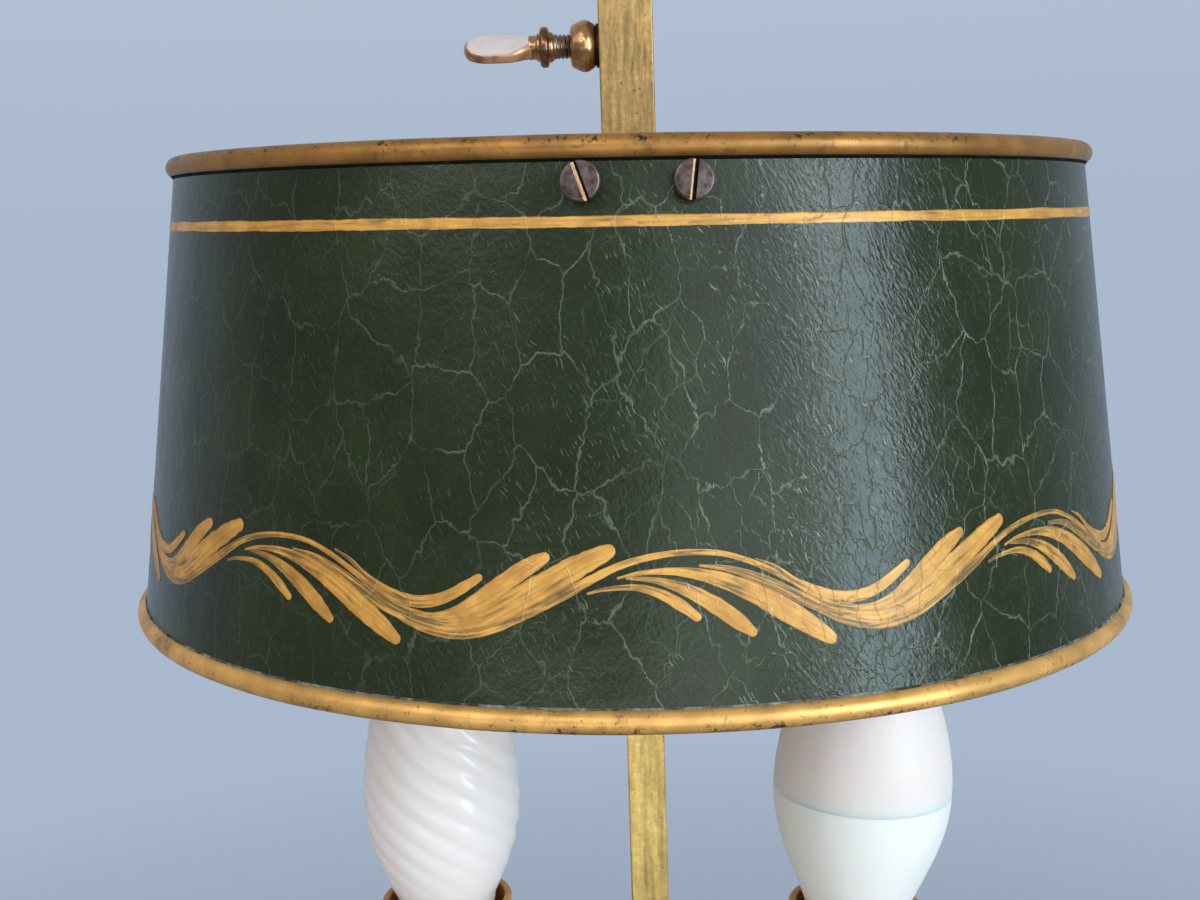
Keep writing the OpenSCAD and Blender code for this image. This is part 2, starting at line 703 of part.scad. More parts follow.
ring_z = rod_top_z + finial_h + ring_r + ring_wire_d / 2 - 1.4;
module finial() {
    waist_r = 4;
    color(gilt_colour) difference() {
        translate([0, 0, rod_top_z]) rotate_extrude() polygon(concat(
            [[0, 0], [rod_w / 2 + 2, 0]], bead(rod_w / 2 + 2, 0.2, 2.6, 1),
            ogee([waist_r + 1, 3.4], [finial_r, finial_h * 0.5]),
            ogee([finial_r, finial_h * 0.5 + 0.6], [waist_r, finial_h - 4]),
            bead(waist_r, finial_h - 3.6, finial_h - 0.8, 1.2), [[waist_r, finial_h], [0, finial_h]]));
        translate([0, 0, rod_top_z - 1]) cylinder(r = tenon_r + run_fit, h = finial_tenon_h + 1.5);
        translate([0, 0, ring_z]) rotate([90, 0, 0]) rotate_extrude() translate([ring_r, 0])
            circle(d = ring_wire_d + 2 * seat_gap);
    }
}

module carrying_ring() {
    color(gilt_colour) translate([0, 0, ring_z]) rotate([90, 0, 0]) rotate_extrude()
        translate([ring_r, 0]) circle(d = ring_wire_d);
}

// ---- Shade ----------------------------------------------------------------------------

// Frame of the shade: Z is the shade's own axis and 0 is the middle of the bottom rim wire
module on_shade() {
    translate([shade_offset, 0, shade_z]) rotate([0, shade_lean, 0]) children();
}

function cone_r(h) = shade_bottom_r + (shade_top_r - shade_bottom_r) * h / shade_h;

// Band of the shade's cone, between two offsets from the middle of the sheet
module cone_band(h0, h1, in, out) {
    rotate_extrude($fn = 180) polygon([[cone_r(h0) + in, h0], [cone_r(h0) + out, h0],
        [cone_r(h1) + out, h1], [cone_r(h1) + in, h1]]);
}

// The four screw places: out runs along the screw, away from the shade
module at_screws() {
    screw_angle = asin(screw_spacing / 2 / cone_r(screw_h));
    for (back = [0, 180]) for (k = [-1, 1])
        rotate([0, 0, back + k * screw_angle]) translate([0, -cone_r(screw_h), screw_h])
            rotate([90 - cone_angle, 0, 0]) rotate([0, 0, slot_turn(back, k)]) children();
}

// Each screw stopped with its slot at an angle of its own
function slot_turn(back, k) = back == 0 ? (k < 0 ? 110 : 83) : (k < 0 ? 40 : 155);

module shade_shell() {
    color(shade_colour) on_shade() difference() {
        cone_band(rim_wire_r * 0.7, shade_h - rim_wire_r * 0.7, -shade_wall / 2, shade_wall / 2);
        at_screws() translate([0, 0, -5]) cylinder(d = screw_d + 0.4, h = 10);
    }
}

// Wire crimped over the sheet's edge
module rim(h) {
    color(gilt_colour) on_shade() translate([0, 0, h]) rotate_extrude($fn = 180)
        translate([cone_r(h), 0]) circle(d = rim_wire_d);
}

module shade_bracket() {
    tab_in = -shade_wall / 2 - seat_gap - strap_t;
    color(brass_colour) difference() {
        on_shade() {
            intersection() {
                cone_band(strap_h, screw_h + tab_above, tab_in, tab_in + strap_t);
                translate([-tab_w / 2, -2 * shade_bottom_r, 0])
                    cube([tab_w, 4 * shade_bottom_r, 2 * shade_h]);
            }
            intersection() {
                translate([-strap_w / 2, -shade_bottom_r, strap_h])
                    cube([strap_w, 2 * shade_bottom_r, strap_t]);
                cylinder(r = cone_r(strap_h) + tab_in + strap_t / 2, h = 2 * shade_h);
            }
            translate([-shade_offset, 0, strap_h]) cylinder(r = sleeve_w, h = strap_t);
        }
        on_shade() at_screws() translate([0, 0, -8]) cylinder(d = screw_d + 2 * run_fit, h = 10);
        translate([-sleeve_w / 2 - seat_gap, -sleeve_w / 2 - seat_gap, shade_z])
            cube([sleeve_w + 2 * seat_gap, sleeve_w + 2 * seat_gap, shade_h + 20]);
    }
}

module shade_screws() {
    color(dark_colour) on_shade() at_screws() difference() {
        union() {
            translate([0, 0, head_front - screw_l]) cylinder(d = screw_d, h = screw_l - 1);
            translate([0, 0, head_front - screw_head_h]) cylinder(d = screw_head_d, h = screw_head_h);
        }
        translate([-screw_head_d, -screw_slot_w / 2, head_front - screw_slot_depth])
            cube([2 * screw_head_d, screw_slot_w, 2]);
    }
}

module sleeve() {
    inner_w = rod_w + 2 * rod_fit;
    round_r = boss_l / 2 - 0.2;
    color(brass_colour) difference() {
        union() {
            translate([-sleeve_w / 2, -sleeve_w / 2, sleeve_z]) cube([sleeve_w, sleeve_w, sleeve_l]);
            translate([-sleeve_w / 2, 0, thumb_z]) rotate([0, -90, 0]) rotate_extrude() polygon(concat(
                [[0, -0.3], [boss_d / 2 - round_r * (1 - cos(50)), -0.3]],
                [for (i = [0:10]) let (a = -50 + 14 * i)
                    [boss_d / 2 - round_r * (1 - cos(a)), boss_l - round_r * (1 - sin(a))]],
                [[0, boss_l]]));
        }
        translate([-inner_w / 2, -inner_w / 2, sleeve_z - 1]) cube([inner_w, inner_w, sleeve_l + 2]);
        translate([0, 0, thumb_z]) rotate([0, -90, 0]) cylinder(d = thumb_d + 2 * run_fit, h = 2 * boss_end);
    }
}

// ---- Thumb screw: Z of its frame runs out of the boss -----------------------------------

module on_thumb() {
    translate([0, 0, thumb_z]) rotate([0, -90, 0]) children();
}

module pressure_pad() {
    color(pale_brass_colour) on_thumb() translate([0, 0, pad_start]) cylinder(d = thumb_d - 0.4, h = pad_l);
}

thread_pitch = 0.8;
module thumb_screw() {
    thread_depth = 0.35;
    turns = floor((collar_start - thread_start - 1) / thread_pitch);
    thread_line = [for (i = [0:2 * turns])
        [thumb_d / 2 - (i % 2) * thread_depth, thread_start + 0.2 + i * thread_pitch / 2]];
    color(copper_colour) on_thumb() {
        rotate_extrude() polygon(concat(
            [[0, thread_start], [thumb_d / 2 - thread_depth, thread_start]], thread_line,
            [[thumb_d / 2, collar_start - 0.8], [collar_d / 2 - 1.2, collar_start]],
            bead(collar_d / 2 - collar_t / 2, collar_start, neck_start, collar_t / 2),
            [[thumb_d / 2, neck_start], [thumb_d / 2 - 0.2, wing_start + 1], [0, wing_start + 1]]));
        rotate([0, 0, 90 - wing_tilt]) translate([0, 0, wing_start]) rotate([90, 0, 0])
            linear_extrude(wing_t, center = true) wing_outline();
    }
}

// Leaf of the thumb screw: a narrow root that widens to a round end
module wing_outline() {
    root_w = 4.6;
    widest = wing_l - wing_w / 2;
    polygon(concat(
        [[-root_w / 2, 0]], [for (p = ogee([root_w / 2, 0], [wing_w / 2, widest])) p],
        [for (i = [1:11]) [wing_w / 2 * cos(15 * i), widest + wing_w / 2 * sin(15 * i)]],
        reversed([for (p = ogee([-root_w / 2, 0], [-wing_w / 2, widest])) p])));
}

// ---- Bulbs ----------------------------------------------------------------------------

module bulb_contact(side) {
    color(tin_colour) on_light(side) translate([0, 0, bulb_bottom])
        cylinder(r1 = 2.4, r2 = 3.2, h = button_h);
}

module bulb_insulator(side) {
    color(dark_colour) on_light(side) translate([0, 0, bulb_bottom + button_h + seat_gap])
        cylinder(r1 = 3.6, r2 = cap_r - 1, h = insulator_h - 2 * seat_gap);
}

// Threaded cap with rounded ridges and a flared collar under the bulb
module bulb_cap(side) {
    ridge_pitch = 2.8;
    ridges = floor((cap_l - 4) / ridge_pitch);
    ridge_line = [for (i = [0:4 * ridges]) [cap_r - 0.3 - 0.3 * cos(90 * i), i * ridge_pitch / 4]];
    inner_r = cap_r - 0.6 - cap_wall;
    line = concat(ridge_line, [[cap_r - 0.4, cap_l - 3], [cap_r - 0.1, cap_l]]);
    color(pale_brass_colour) on_light(side) translate([0, 0, cap_z])
        rotate_extrude() polygon(concat(line, [[inner_r, cap_l], [inner_r, 0]]));
}

// Radius of the twisted bulb's smooth form at a height above the cap
function flame_form(z) =
    let (neck_z = cup_top + 1, wide_z = cup_top + flame_wide, tip_z = cup_top + flame_tip,
         in_cup = (z - glass_z) / (neck_z - glass_z),
         below = (z - neck_z) / (wide_z - neck_z),
         above = (z - wide_z) / (tip_z - wide_z))
    z < neck_z ? cap_r + (bulb_neck_r - cap_r) * sin(90 * in_cup)
    : z < wide_z ? bulb_neck_r + (flame_r - bulb_neck_r) * (1 - cos(180 * below)) / 2
    : flame_r * pow(max(cos(90 * above), 0), 0.9);

// Share of the flutes' full depth at a height: none in the neck, none at the tip
function flute_share(z) =
    let (u = (z - cup_top - 1) / (flame_tip - 1)) u < 0 ? 0 : min(1, 5 * u) * min(1, 4 * (1 - u));

flame_around = 8;      // points of one flute
flame_rings = 26;
module left_bulb_glass() {
    around = flute_count * flame_around;
    z0 = glass_z + seat_gap;
    z1 = cup_top + flame_tip - 0.6;
    heights = [for (i = [0:flame_rings]) z0 + (z1 - z0) * i / flame_rings];
    function ring(z, wall, top) = [for (k = [0:around - 1])
        let (a = 360 * k / around,
             flute = flute_depth * flute_share(z) * (abs(cos(flute_count / 2 * (a + flute_twist * z))) - 0.6),
             r = max(flame_form(z) + flute - wall, 0.4))
        [r * sin(a), -r * cos(a), z - (top ? wall : 0)]];
    rings = concat(
        [for (i = [flame_rings:-1:0]) ring(heights[i], glass_wall, i > flame_rings - 3)],
        [for (i = [0:flame_rings]) ring(heights[i], 0, false)]);
    color([0.86, 0.88, 0.86, 0.6]) on_light(-1) rotate([0, 0, -turn(-1)]) ring_solid(rings, around);
}

// Glass stem with its two support wires and the filament posts
module left_bulb_mount() {
    stem_r = 3.2;
    stem_top = cup_top + flame_wide - 8;
    wire_r = 0.4;
    color(tin_colour) on_light(-1) {
        translate([0, 0, cap_z + 1]) cylinder(r = stem_r + 2, h = 3);
        translate([0, 0, cap_z + 3]) cylinder(r = stem_r, h = stem_top - cap_z - 3);
        for (k = [-1, 1]) translate([k * (stem_r - 0.8), 0, stem_top - 1]) cylinder(r = wire_r, h = 22);
        translate([-stem_r + 0.4, 0, stem_top + 20]) rotate([0, 90, 0])
            cylinder(r = wire_r, h = 2 * stem_r - 0.8);
    }
}

// Outer line of the plastic bulb's tapered housing, from cap to seam
function housing_line() = concat(
    [[cap_r + 0.6, glass_z + seat_gap]],
    ogee([cap_r + 1.2, glass_z + 1], [bulb_neck_r, cup_top], 6),
    [for (i = [1:8]) [bulb_neck_r + (led_r - bulb_neck_r) * sin(90 * i / 8) ^ 1.15,
        cup_top + led_seam * i / 8]]);

// Outer line of the plastic bulb's dome, from seam to tip
function dome_line() = [for (i = [0:14]) let (u = i / 14)
    [i == 14 ? 0 : led_r * cos(90 * u) ^ 0.85, cup_top + led_seam + seat_gap + (led_tip - led_seam) * u]];

// Tapered housing with a ledge inside that carries the board of lights
module right_bulb_housing() {
    ledge_top = board_z - seat_gap;
    color(white_colour) on_light(1) {
        rotate_extrude()
            polygon(concat(housing_line(), reversed(beside(housing_line(), -plastic_wall))));
        rotate_extrude() translate([ledge_r, ledge_top - ledge_t])
            square([led_r - plastic_wall / 2 - 0.3 - ledge_r, ledge_t]);
    }
}

module right_bulb_diffuser() {
    outer = dome_line();
    inner = [for (p = outer) [max(p.x - plastic_wall, 0), p.y - (p.x < plastic_wall ? plastic_wall : 0)]];
    inside = [for (i = [0:12]) inner[i]];
    color([0.85, 0.85, 0.84]) on_light(1) rotate_extrude()
        polygon(concat(outer, [[0, outer[14].y - 1.6 * plastic_wall]], reversed(inside)));
}

module right_led_board() {
    led_size = [2.8, 2.8, 0.8];
    led_ring_r = 0.43 * led_r;
    color(tin_colour) on_light(1) {
        translate([0, 0, board_z]) cylinder(r = led_r - plastic_wall - 1, h = board_t);
        for (i = [0:5]) rotate([0, 0, 60 * i]) translate([led_ring_r, 0, board_z + board_t])
            translate([-led_size.x / 2, -led_size.y / 2, -0.1]) cube(led_size);
    }
}

// Board with the driver, plugged under the board of lights
module right_driver_board() {
    board_top = board_z - seat_gap;
    board_w = bulb_cap_d - 4.2;
    board_bottom = cap_z + 4;
    chip_w = 8;
    chip_t = 3.5;
    chip_rise = 4;
    color([0.2, 0.4, 0.25]) on_light(1) {
        translate([-board_w / 2, -board_t / 2, board_bottom])
            cube([board_w, board_t, board_top - board_bottom]);
        translate([-chip_w / 2, board_t / 2 - 0.1, cup_top + chip_rise]) cube([chip_w, chip_t, chip_w]);
    }
}

// ---- Assembly -------------------------------------------------------------------------

base_felt();
base_weight();
base_dish();
base_nut();
base_washer();
threaded_tube();
cord_gland();
terminal_block();
switch_body();
switch_nut();
switch_leads();
switch_knob();
column();
hub();
hub_cap();
arm(-1);  // left_arm
arm(1);  // right_arm
nipple(-1);  // left_nipple
nipple(1);  // right_nipple
drip_pan(-1);  // left_drip_pan
drip_pan(1);  // right_drip_pan
cup(-1);  // left_cup
cup(1);  // right_cup
holder_body(-1);  // left_holder_body
holder_body(1);  // right_holder_body
holder_shell(-1);  // left_holder_shell
holder_shell(1);  // right_holder_shell
holder_contact(-1);  // left_holder_contact
holder_contact(1);  // right_holder_contact
leads(-1);  // left_leads
leads(1);  // right_leads
rod();
finial();
carrying_ring();
shade_shell();
rim(shade_h);  // top_rim
rim(0);  // bottom_rim
shade_bracket();
sleeve();
shade_screws();
pressure_pad();
thumb_screw();
bulb_contact(-1);  // left_bulb_contact
bulb_insulator(-1);  // left_bulb_insulator
bulb_cap(-1);  // left_bulb_cap
left_bulb_glass();
left_bulb_mount();
bulb_contact(1);  // right_bulb_contact
bulb_insulator(1);  // right_bulb_insulator
bulb_cap(1);  // right_bulb_cap
right_bulb_housing();
right_bulb_diffuser();
right_led_board();
right_driver_board();
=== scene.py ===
"""Bouillotte lamp: its finishes, painted border and detailed metalwork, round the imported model."""

import json
import math
import random

import bmesh
import bpy
from bpy.props import FloatProperty, FloatVectorProperty, IntProperty, PointerProperty
from bpy.types import Operator, Panel, PropertyGroup
from mathutils import Matrix, Vector, noise


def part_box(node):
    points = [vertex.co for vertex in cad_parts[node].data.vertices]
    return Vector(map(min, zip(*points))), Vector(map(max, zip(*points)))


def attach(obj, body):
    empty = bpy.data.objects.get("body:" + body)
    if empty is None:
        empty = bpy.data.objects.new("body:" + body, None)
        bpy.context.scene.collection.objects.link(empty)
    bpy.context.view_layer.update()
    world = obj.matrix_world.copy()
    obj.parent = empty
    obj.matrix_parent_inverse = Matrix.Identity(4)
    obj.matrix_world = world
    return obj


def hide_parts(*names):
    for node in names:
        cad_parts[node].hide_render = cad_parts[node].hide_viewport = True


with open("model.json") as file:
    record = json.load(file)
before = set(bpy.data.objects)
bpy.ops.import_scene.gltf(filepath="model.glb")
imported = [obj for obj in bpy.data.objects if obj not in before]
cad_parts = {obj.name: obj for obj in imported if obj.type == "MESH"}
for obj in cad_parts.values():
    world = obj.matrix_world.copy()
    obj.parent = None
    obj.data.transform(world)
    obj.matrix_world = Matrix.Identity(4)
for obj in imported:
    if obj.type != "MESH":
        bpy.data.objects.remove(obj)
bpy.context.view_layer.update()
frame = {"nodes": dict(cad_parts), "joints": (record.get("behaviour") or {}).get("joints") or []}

bl_info = {
    "name": "Bouillotte lamp",
    "version": (1, 0, 0),
    "blender": (4, 5, 0),
    "location": "View3D > Sidebar > Lamp",
    "description": "Lacquered drum shade with a painted border, brass stand and two candle bulbs",
    "category": "Object",
}

MM = 0.001


# ---- Sizes and colours that a user may change ------------------------------------------------

def length(name, default, text):
    return FloatProperty(name=name, description=text, default=default, unit="LENGTH", precision=5)


def degrees(name, default, text):
    return FloatProperty(name=name, description=text, default=math.radians(default), subtype="ANGLE")


def number(name, default, text):
    return FloatProperty(name=name, description=text, default=default)


def colour(name, default, text):
    return FloatVectorProperty(name=name, description=text, default=default, subtype="COLOR",
                               size=3, min=0, max=1)


class ShadeSettings(PropertyGroup):
    """The lacquered sheet, its rims and its screws."""

    wall: length("Wall", 0.0008, "Thickness of the sheet")
    wire: length("Rim wire", 0.0039, "Thickness of the rim wires")
    crack_size: length("Crack size", 0.0105, "Distance between the main cracks of the lacquer")
    crack_width: length("Crack width", 0.00022, "Half width of the cracks")
    split_lean: degrees("Split lean", 58, "Slope of the short splits in the lacquer")
    lacquer: colour("Lacquer", (0.0108, 0.0190, 0.0040), "Colour of the lacquer")
    crack_colour: colour("Cracks", (0.125, 0.150, 0.100), "Colour of the cracks")
    lining: colour("Lining", (0.62, 0.58, 0.47), "Colour of the paint inside")
    screw_spacing: length("Screw spacing", 0.0162, "Distance between the two screws of a pair")
    screw_drop: length("Screw drop", 0.0054, "Distance of the screws below the top rim wire")
    head_d: length("Head width", 0.0060, "Diameter of a screw head")
    head_h: length("Head height", 0.0022, "Height of a screw head")
    standoff: length("Standoff", 0.0012, "Distance that a head stands off the sheet")
    slot_w: length("Slot width", 0.0008, "Width of the slot in a head")
    slot_depth: length("Slot depth", 0.0010, "Depth of the slot in a head")


class BorderSettings(PropertyGroup):
    """The painted stripe and the leaf border."""

    units: IntProperty(name="Units", description="Number of leaf units round the shade", default=9, min=3)
    phase: degrees("Phase", -17.45, "Angle of the first unit's low point from the front")
    stripe_drop: length("Stripe drop", 0.01095, "Distance of the stripe below the top rim wire")
    stripe_w: length("Stripe width", 0.0017, "Width of the stripe")
    paint_t: length("Paint thickness", 0.00006, "Height of the paint on the lacquer")
    gold: colour("Gold", (0.61, 0.318, 0.060), "Colour of thick gold paint")
    dry: colour("Dry brush", (0.105, 0.075, 0.028), "Colour where the brush ran dry")


class MetalSettings(PropertyGroup):
    """Colours of the metals."""

    gilt: colour("Gilt", (0.56, 0.285, 0.070), "Gilding on rims, cups and finial")
    # Worn gilt also paints the shade on the undersides of the rim wires.
    gilt_worn_and_shaded: colour("Worn gilt", (0.145, 0.065, 0.020), "Gilding where it is worn or dirty")
    sleeve: colour("Sleeve brass", (0.470, 0.295, 0.110), "Dull brass of sleeve, stand and arms")
    rod: colour("Rod brass", (0.760, 0.520, 0.165), "Brighter brass of the rod")
    patina: colour("Patina", (0.100, 0.065, 0.022), "Patina on the brass")
    bronze: colour("Bronze", (0.600, 0.310, 0.165), "Coppery bronze of the thumb screw")
    boss: colour("Boss", (0.600, 0.345, 0.150), "Golden bronze of the boss on the sleeve")
    polished: colour("Polished wing", (0.830, 0.735, 0.715), "Pale metal where the wing is rubbed bright")
    screw: colour("Screw", (0.068, 0.050, 0.047), "Dark shade screws")
    # The slot colour paints the lit wall of each slot; the other wall is painted black as shade.
    slot: colour("Slot", (0.780, 0.500, 0.300), "Bare metal in the screw slots")


class ThumbSettings(PropertyGroup):
    """The boss on the sleeve and its thumb screw; distances run out from the rod's middle."""

    boss_d: length("Boss", 0.0103, "Diameter of the boss")
    boss_l: length("Boss length", 0.0058, "Length of the boss")
    thread_d: length("Thread", 0.0050, "Diameter of the thread")
    pitch: length("Pitch", 0.0008, "Pitch of the thread")
    gap: length("Gap", 0.0041, "Thread that shows between boss and collar")
    collar_d: length("Collar", 0.0081, "Diameter of the collar")
    collar_t: length("Collar thickness", 0.0026, "Thickness of the collar")
    neck_l: length("Neck", 0.0007, "Length of the neck")
    wing_l: length("Wing length", 0.0141, "Length of the wing")
    wing_w: length("Wing width", 0.0090, "Width of the wing")
    wing_t: length("Wing thickness", 0.0028, "Thickness of the wing")
    wing_tilt: degrees("Wing tilt", 35, "Turn of the wing about the screw")


class LightSettings(PropertyGroup):
    """The bulbs and candle cups; heights run up from the end of the arm."""

    cup_z: length("Cup foot", 0.00345, "Height of the cup's underside")
    cup_h: length("Cup height", 0.036, "Height of the cup")
    cup_r: length("Cup radius", 0.0144, "Outer radius of the cup's rim")
    cup_wall: length("Cup wall", 0.0016, "Wall of the cup")
    foot_r: length("Foot radius", 0.0110, "Radius of the cup's foot")
    neck_r: length("Bulb neck", 0.0109, "Radius of both bulbs where they enter the cups")
    cap_r: length("Bulb cap", 0.0069, "Radius of the bulbs' screw caps")
    flame_r: length("Glass radius", 0.0175, "Widest radius of the glass bulb")
    flame_wide: length("Glass widest", 0.0233, "Height of its widest part above the cup")
    flame_tip: length("Glass tip", 0.0760, "Height of its tip above the cup")
    flutes: IntProperty(name="Flutes", description="Number of flutes", default=12, min=3)
    twist: degrees("Twist", 5200, "Turn of the flutes per metre of height")
    flute_depth: length("Flute depth", 0.0005, "Depth of the flutes")
    led_r: length("Plastic radius", 0.01875, "Radius of the plastic bulb at its seam")
    led_seam: length("Seam", 0.0265, "Height of the seam above the cup")
    led_tip: length("Plastic tip", 0.0720, "Height of the plastic bulb's tip above the cup")
    glass: colour("Frosted glass", (0.82, 0.775, 0.765), "Colour of the frosted glass")
    dome: colour("Dome", (0.83, 0.770, 0.735), "Colour of the milky dome")
    housing: colour("Housing", (0.93, 0.875, 0.835), "Colour of the white housing")
    glue: colour("Glue", (0.80, 0.72, 0.58), "Colour of the glue in the seam")


class StageSettings(PropertyGroup):
    """The camera, the backdrop and the lamps."""

    eye: FloatVectorProperty(name="Eye", description="Place of the camera", subtype="XYZ", size=3,
                             default=(-0.00612, -0.32474, 0.31903), unit="LENGTH", precision=5)
    pitch: degrees("Pitch", 8.554, "Downward pitch of the camera")
    yaw: degrees("Yaw", -0.30, "Turn of the camera to the right")
    roll: degrees("Roll", -1.845, "Roll of the camera")
    lens: number("Lens", 46.857, "Focal length for a 36 mm wide sensor, in millimetres")
    backdrop: colour("Backdrop", (0.400, 0.483, 0.610), "Colour of the backdrop at the horizon")
    backdrop_top: colour("Backdrop top", (0.455, 0.537, 0.655), "Colour of the backdrop higher up")
    room: colour("Room", (0.33, 0.34, 0.36), "Colour of the room in front of the lamp")
    ambient: number("Ambient", 0.40, "Strength of the soft light from all sides")
    window: number("Window", 10, "Level of the three soft lights at the right, in watts")
    haze: number("Haze", 3.4, "Power of the faint wide light right of the front, in watts")
    low: number("Low", 1.4, "Power of the low light before the lamp, in watts")
    fill: number("Fill", 6.0, "Power of the wide soft light at the upper left, in watts")


SETTINGS = {
    "lamp_shade": ShadeSettings,
    "lamp_border": BorderSettings,
    "lamp_metal": MetalSettings,
    "lamp_thumb": ThumbSettings,
    "lamp_light": LightSettings,
    "lamp_stage": StageSettings,
}


# ---- Places taken from the frame -------------------------------------------------------------

def centre(node):
    low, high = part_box(node)
    return (low + high) / 2


def joint(name):
    return next(j for j in frame["joints"] if j["name"] == name)


def frame_along(origin, axis, across=(1, 0, 0)):
    """Matrix of a frame whose Z runs along axis and whose X is as near as it can be to across."""
    z = Vector(axis).normalized()
    y = z.cross(Vector(across)).normalized()
    x = y.cross(z)
    turn = Matrix((x, y, z)).transposed().to_4x4()
    return Matrix.Translation(Vector(origin)) @ turn


def light_frame(side):
    """Frame of a light, from the end of its arm up along the bulb."""
    turn = joint(side + "_bulb_turn")
    return frame_along(turn["pos_m"], turn["axis"])


class Cone:
    """The shade's cone: angles run from the front towards +X, heights up from the bottom wire."""

    def __init__(self, shade):
        self.low = centre("bottom_rim")
        rise = centre("top_rim") - self.low
        self.height = rise.length
        self.frame = frame_along(self.low, rise)
        self.low_r, self.top_r = (self.radius_of(node, shade.wire) for node in ("bottom_rim", "top_rim"))
        self.slope = math.atan2(self.low_r - self.top_r, self.height)

    @staticmethod
    def radius_of(node, wire):
        low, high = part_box(node)
        return (high.y - low.y - wire) / 2

    def radius(self, h):
        return self.low_r + (self.top_r - self.low_r) * h / self.height

    def local(self, angle, h, out=0.0):
        r = self.radius(h) + out
        return Vector((r * math.sin(angle), -r * math.cos(angle), h))


# ---- Meshes ----------------------------------------------------------------------------------

def piece(name, points, faces, body, finish, at=None, sharp=40, marks=None):
    """A smooth mesh object that rides on a body; edges sharper than an angle stay sharp.

    Marks hold four numbers a point: its place along and across a stroke, and two levels, which on the
    strokes are wear and on the rim wires are chips of wear and painted shade on the underside."""
    mesh = bpy.data.meshes.new(name)
    mesh.from_pydata([tuple(p) for p in points], [], faces)
    mesh.validate()
    if marks:
        for layer_name, first in (("strokes", 0), ("wear", 2)):
            layer = mesh.uv_layers.new(name=layer_name)
            for loop in mesh.loops:
                layer.data[loop.index].uv = marks[loop.vertex_index][first:first + 2]
    mesh.polygons.foreach_set("use_smooth", [True] * len(mesh.polygons))
    mesh.set_sharp_from_angle(angle=math.radians(sharp))
    mesh.materials.append(finish)
    thing = bpy.data.objects.new(name, mesh)
    bpy.context.scene.collection.objects.link(thing)
    thing.matrix_world = at or Matrix.Identity(4)
    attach(thing, body)
    return thing


def grid_faces(rows, columns, close_rows=False, close_columns=True):
    """Quads of a grid whose points run row by row."""
    faces = []
    for i in range(rows if close_rows else rows - 1):
        for k in range(columns if close_columns else columns - 1):
            a, b = i * columns + k, i * columns + (k + 1) % columns
            c, d = ((i + 1) % rows) * columns + k, ((i + 1) % rows) * columns + (k + 1) % columns
            faces.append((a, b, d, c))
    return faces


def capped_faces(rows, columns):
    """Quads of a tube whose points run row by row, and a flat face at each end."""
    top = (rows - 1) * columns
    return grid_faces(rows, columns) + [tuple(reversed(range(columns))), tuple(range(top, top + columns))]


def turns(count):
    """Angles that divide a full turn evenly."""
    return [2 * math.pi * k / count for k in range(count)]


def polar(r, angle, z):
    return r * math.cos(angle), r * math.sin(angle), z


def rounded(profile):
    """Profile of (r, z, fillet) or (r, z) points in millimetres, with its fillets, in metres."""
    line = []
    for i, point in enumerate(profile):
        here = Vector(point[:2])
        size = point[2] if len(point) > 2 else 0
        if size and 0 < i < len(profile) - 1:
            back, ahead = Vector(profile[i - 1][:2]) - here, Vector(profile[i + 1][:2]) - here
            reach = min(size, 0.48 * back.length, 0.48 * ahead.length)
            start, end = here + back.normalized() * reach, here + ahead.normalized() * reach
            steps = 5
            for k in range(steps + 1):
                t = k / steps
                line.append(start * (1 - t) ** 2 + here * 2 * t * (1 - t) + end * t ** 2)
        else:
            line.append(here)
    return [p * MM for p in line]


def ogee(start, end, steps=10):
    """Smooth S between two (r, z) points."""
    return [(start[0] + (end[0] - start[0]) * (1 - math.cos(math.pi * i / steps)) / 2,
             start[1] + (end[1] - start[1]) * i / steps) for i in range(steps + 1)]


def bead(r, z0, z1, out, steps=8):
    """Half-round bead that stands out from a radius between two heights."""
    return [(r + out * math.sin(a), z0 + (z1 - z0) * (1 - math.cos(a)) / 2)
            for a in (math.pi * i / steps for i in range(steps + 1))]


def lathe(name, line, body, finish, at, around, sharp=40):
    """Turned piece from a line of (r, z) points in metres; a line that starts off the axis makes a ring."""
    on_axis = line[0][0] < 1e-7 and line[-1][0] < 1e-7
    rows = line[1:-1] if on_axis else line
    points = [polar(r, a, z) for r, z in rows for a in turns(around)]
    faces = grid_faces(len(rows), around, close_rows=not on_axis)
    if on_axis:
        first, last = len(points), len(points) + 1
        points += [(0, 0, line[0][1]), (0, 0, line[-1][1])]
        top = (len(rows) - 1) * around
        for k in range(around):
            following = (k + 1) % around
            faces.append((first, following, k))
            faces.append((last, top + k, top + following))
    thing = piece(name, points, faces, body, finish, at, sharp)
    outwards(thing)
    return thing


def outwards(thing, weld=0.0):
    """Turns every face of a closed mesh to the outside, and first welds points closer than a distance."""
    work = bmesh.new()
    work.from_mesh(thing.data)
    if weld:
        bmesh.ops.remove_doubles(work, verts=work.verts, dist=weld)
    bmesh.ops.recalc_face_normals(work, faces=work.faces)
    work.to_mesh(thing.data)
    work.free()


def bevelled(thing, width):
    """Rounds the sharp edges of a mesh object."""
    modify(thing, "BEVEL", width=width, segments=3, limit_method="ANGLE", angle_limit=math.radians(35),
           harden_normals=True)


def cut(thing, cutter):
    """Takes another object's volume out of a mesh object and removes the other."""
    modify(thing, "BOOLEAN", object=cutter, operation="DIFFERENCE", solver="EXACT")
    bpy.data.objects.remove(cutter)


def modify(thing, kind, **settings):
    """Gives a mesh object a modifier and applies it."""
    modifier = thing.modifiers.new(kind.lower(), kind)
    for key, value in settings.items():
        setattr(modifier, key, value)
    bpy.context.view_layer.update()
    graph = bpy.context.evaluated_depsgraph_get()
    mesh = bpy.data.meshes.new_from_object(thing.evaluated_get(graph))
    thing.modifiers.clear()
    thing.data = mesh


def box_points(low, high):
    return [(x, y, z) for z in (low[2], high[2]) for x, y in
            ((low[0], low[1]), (high[0], low[1]), (high[0], high[1]), (low[0], high[1]))]


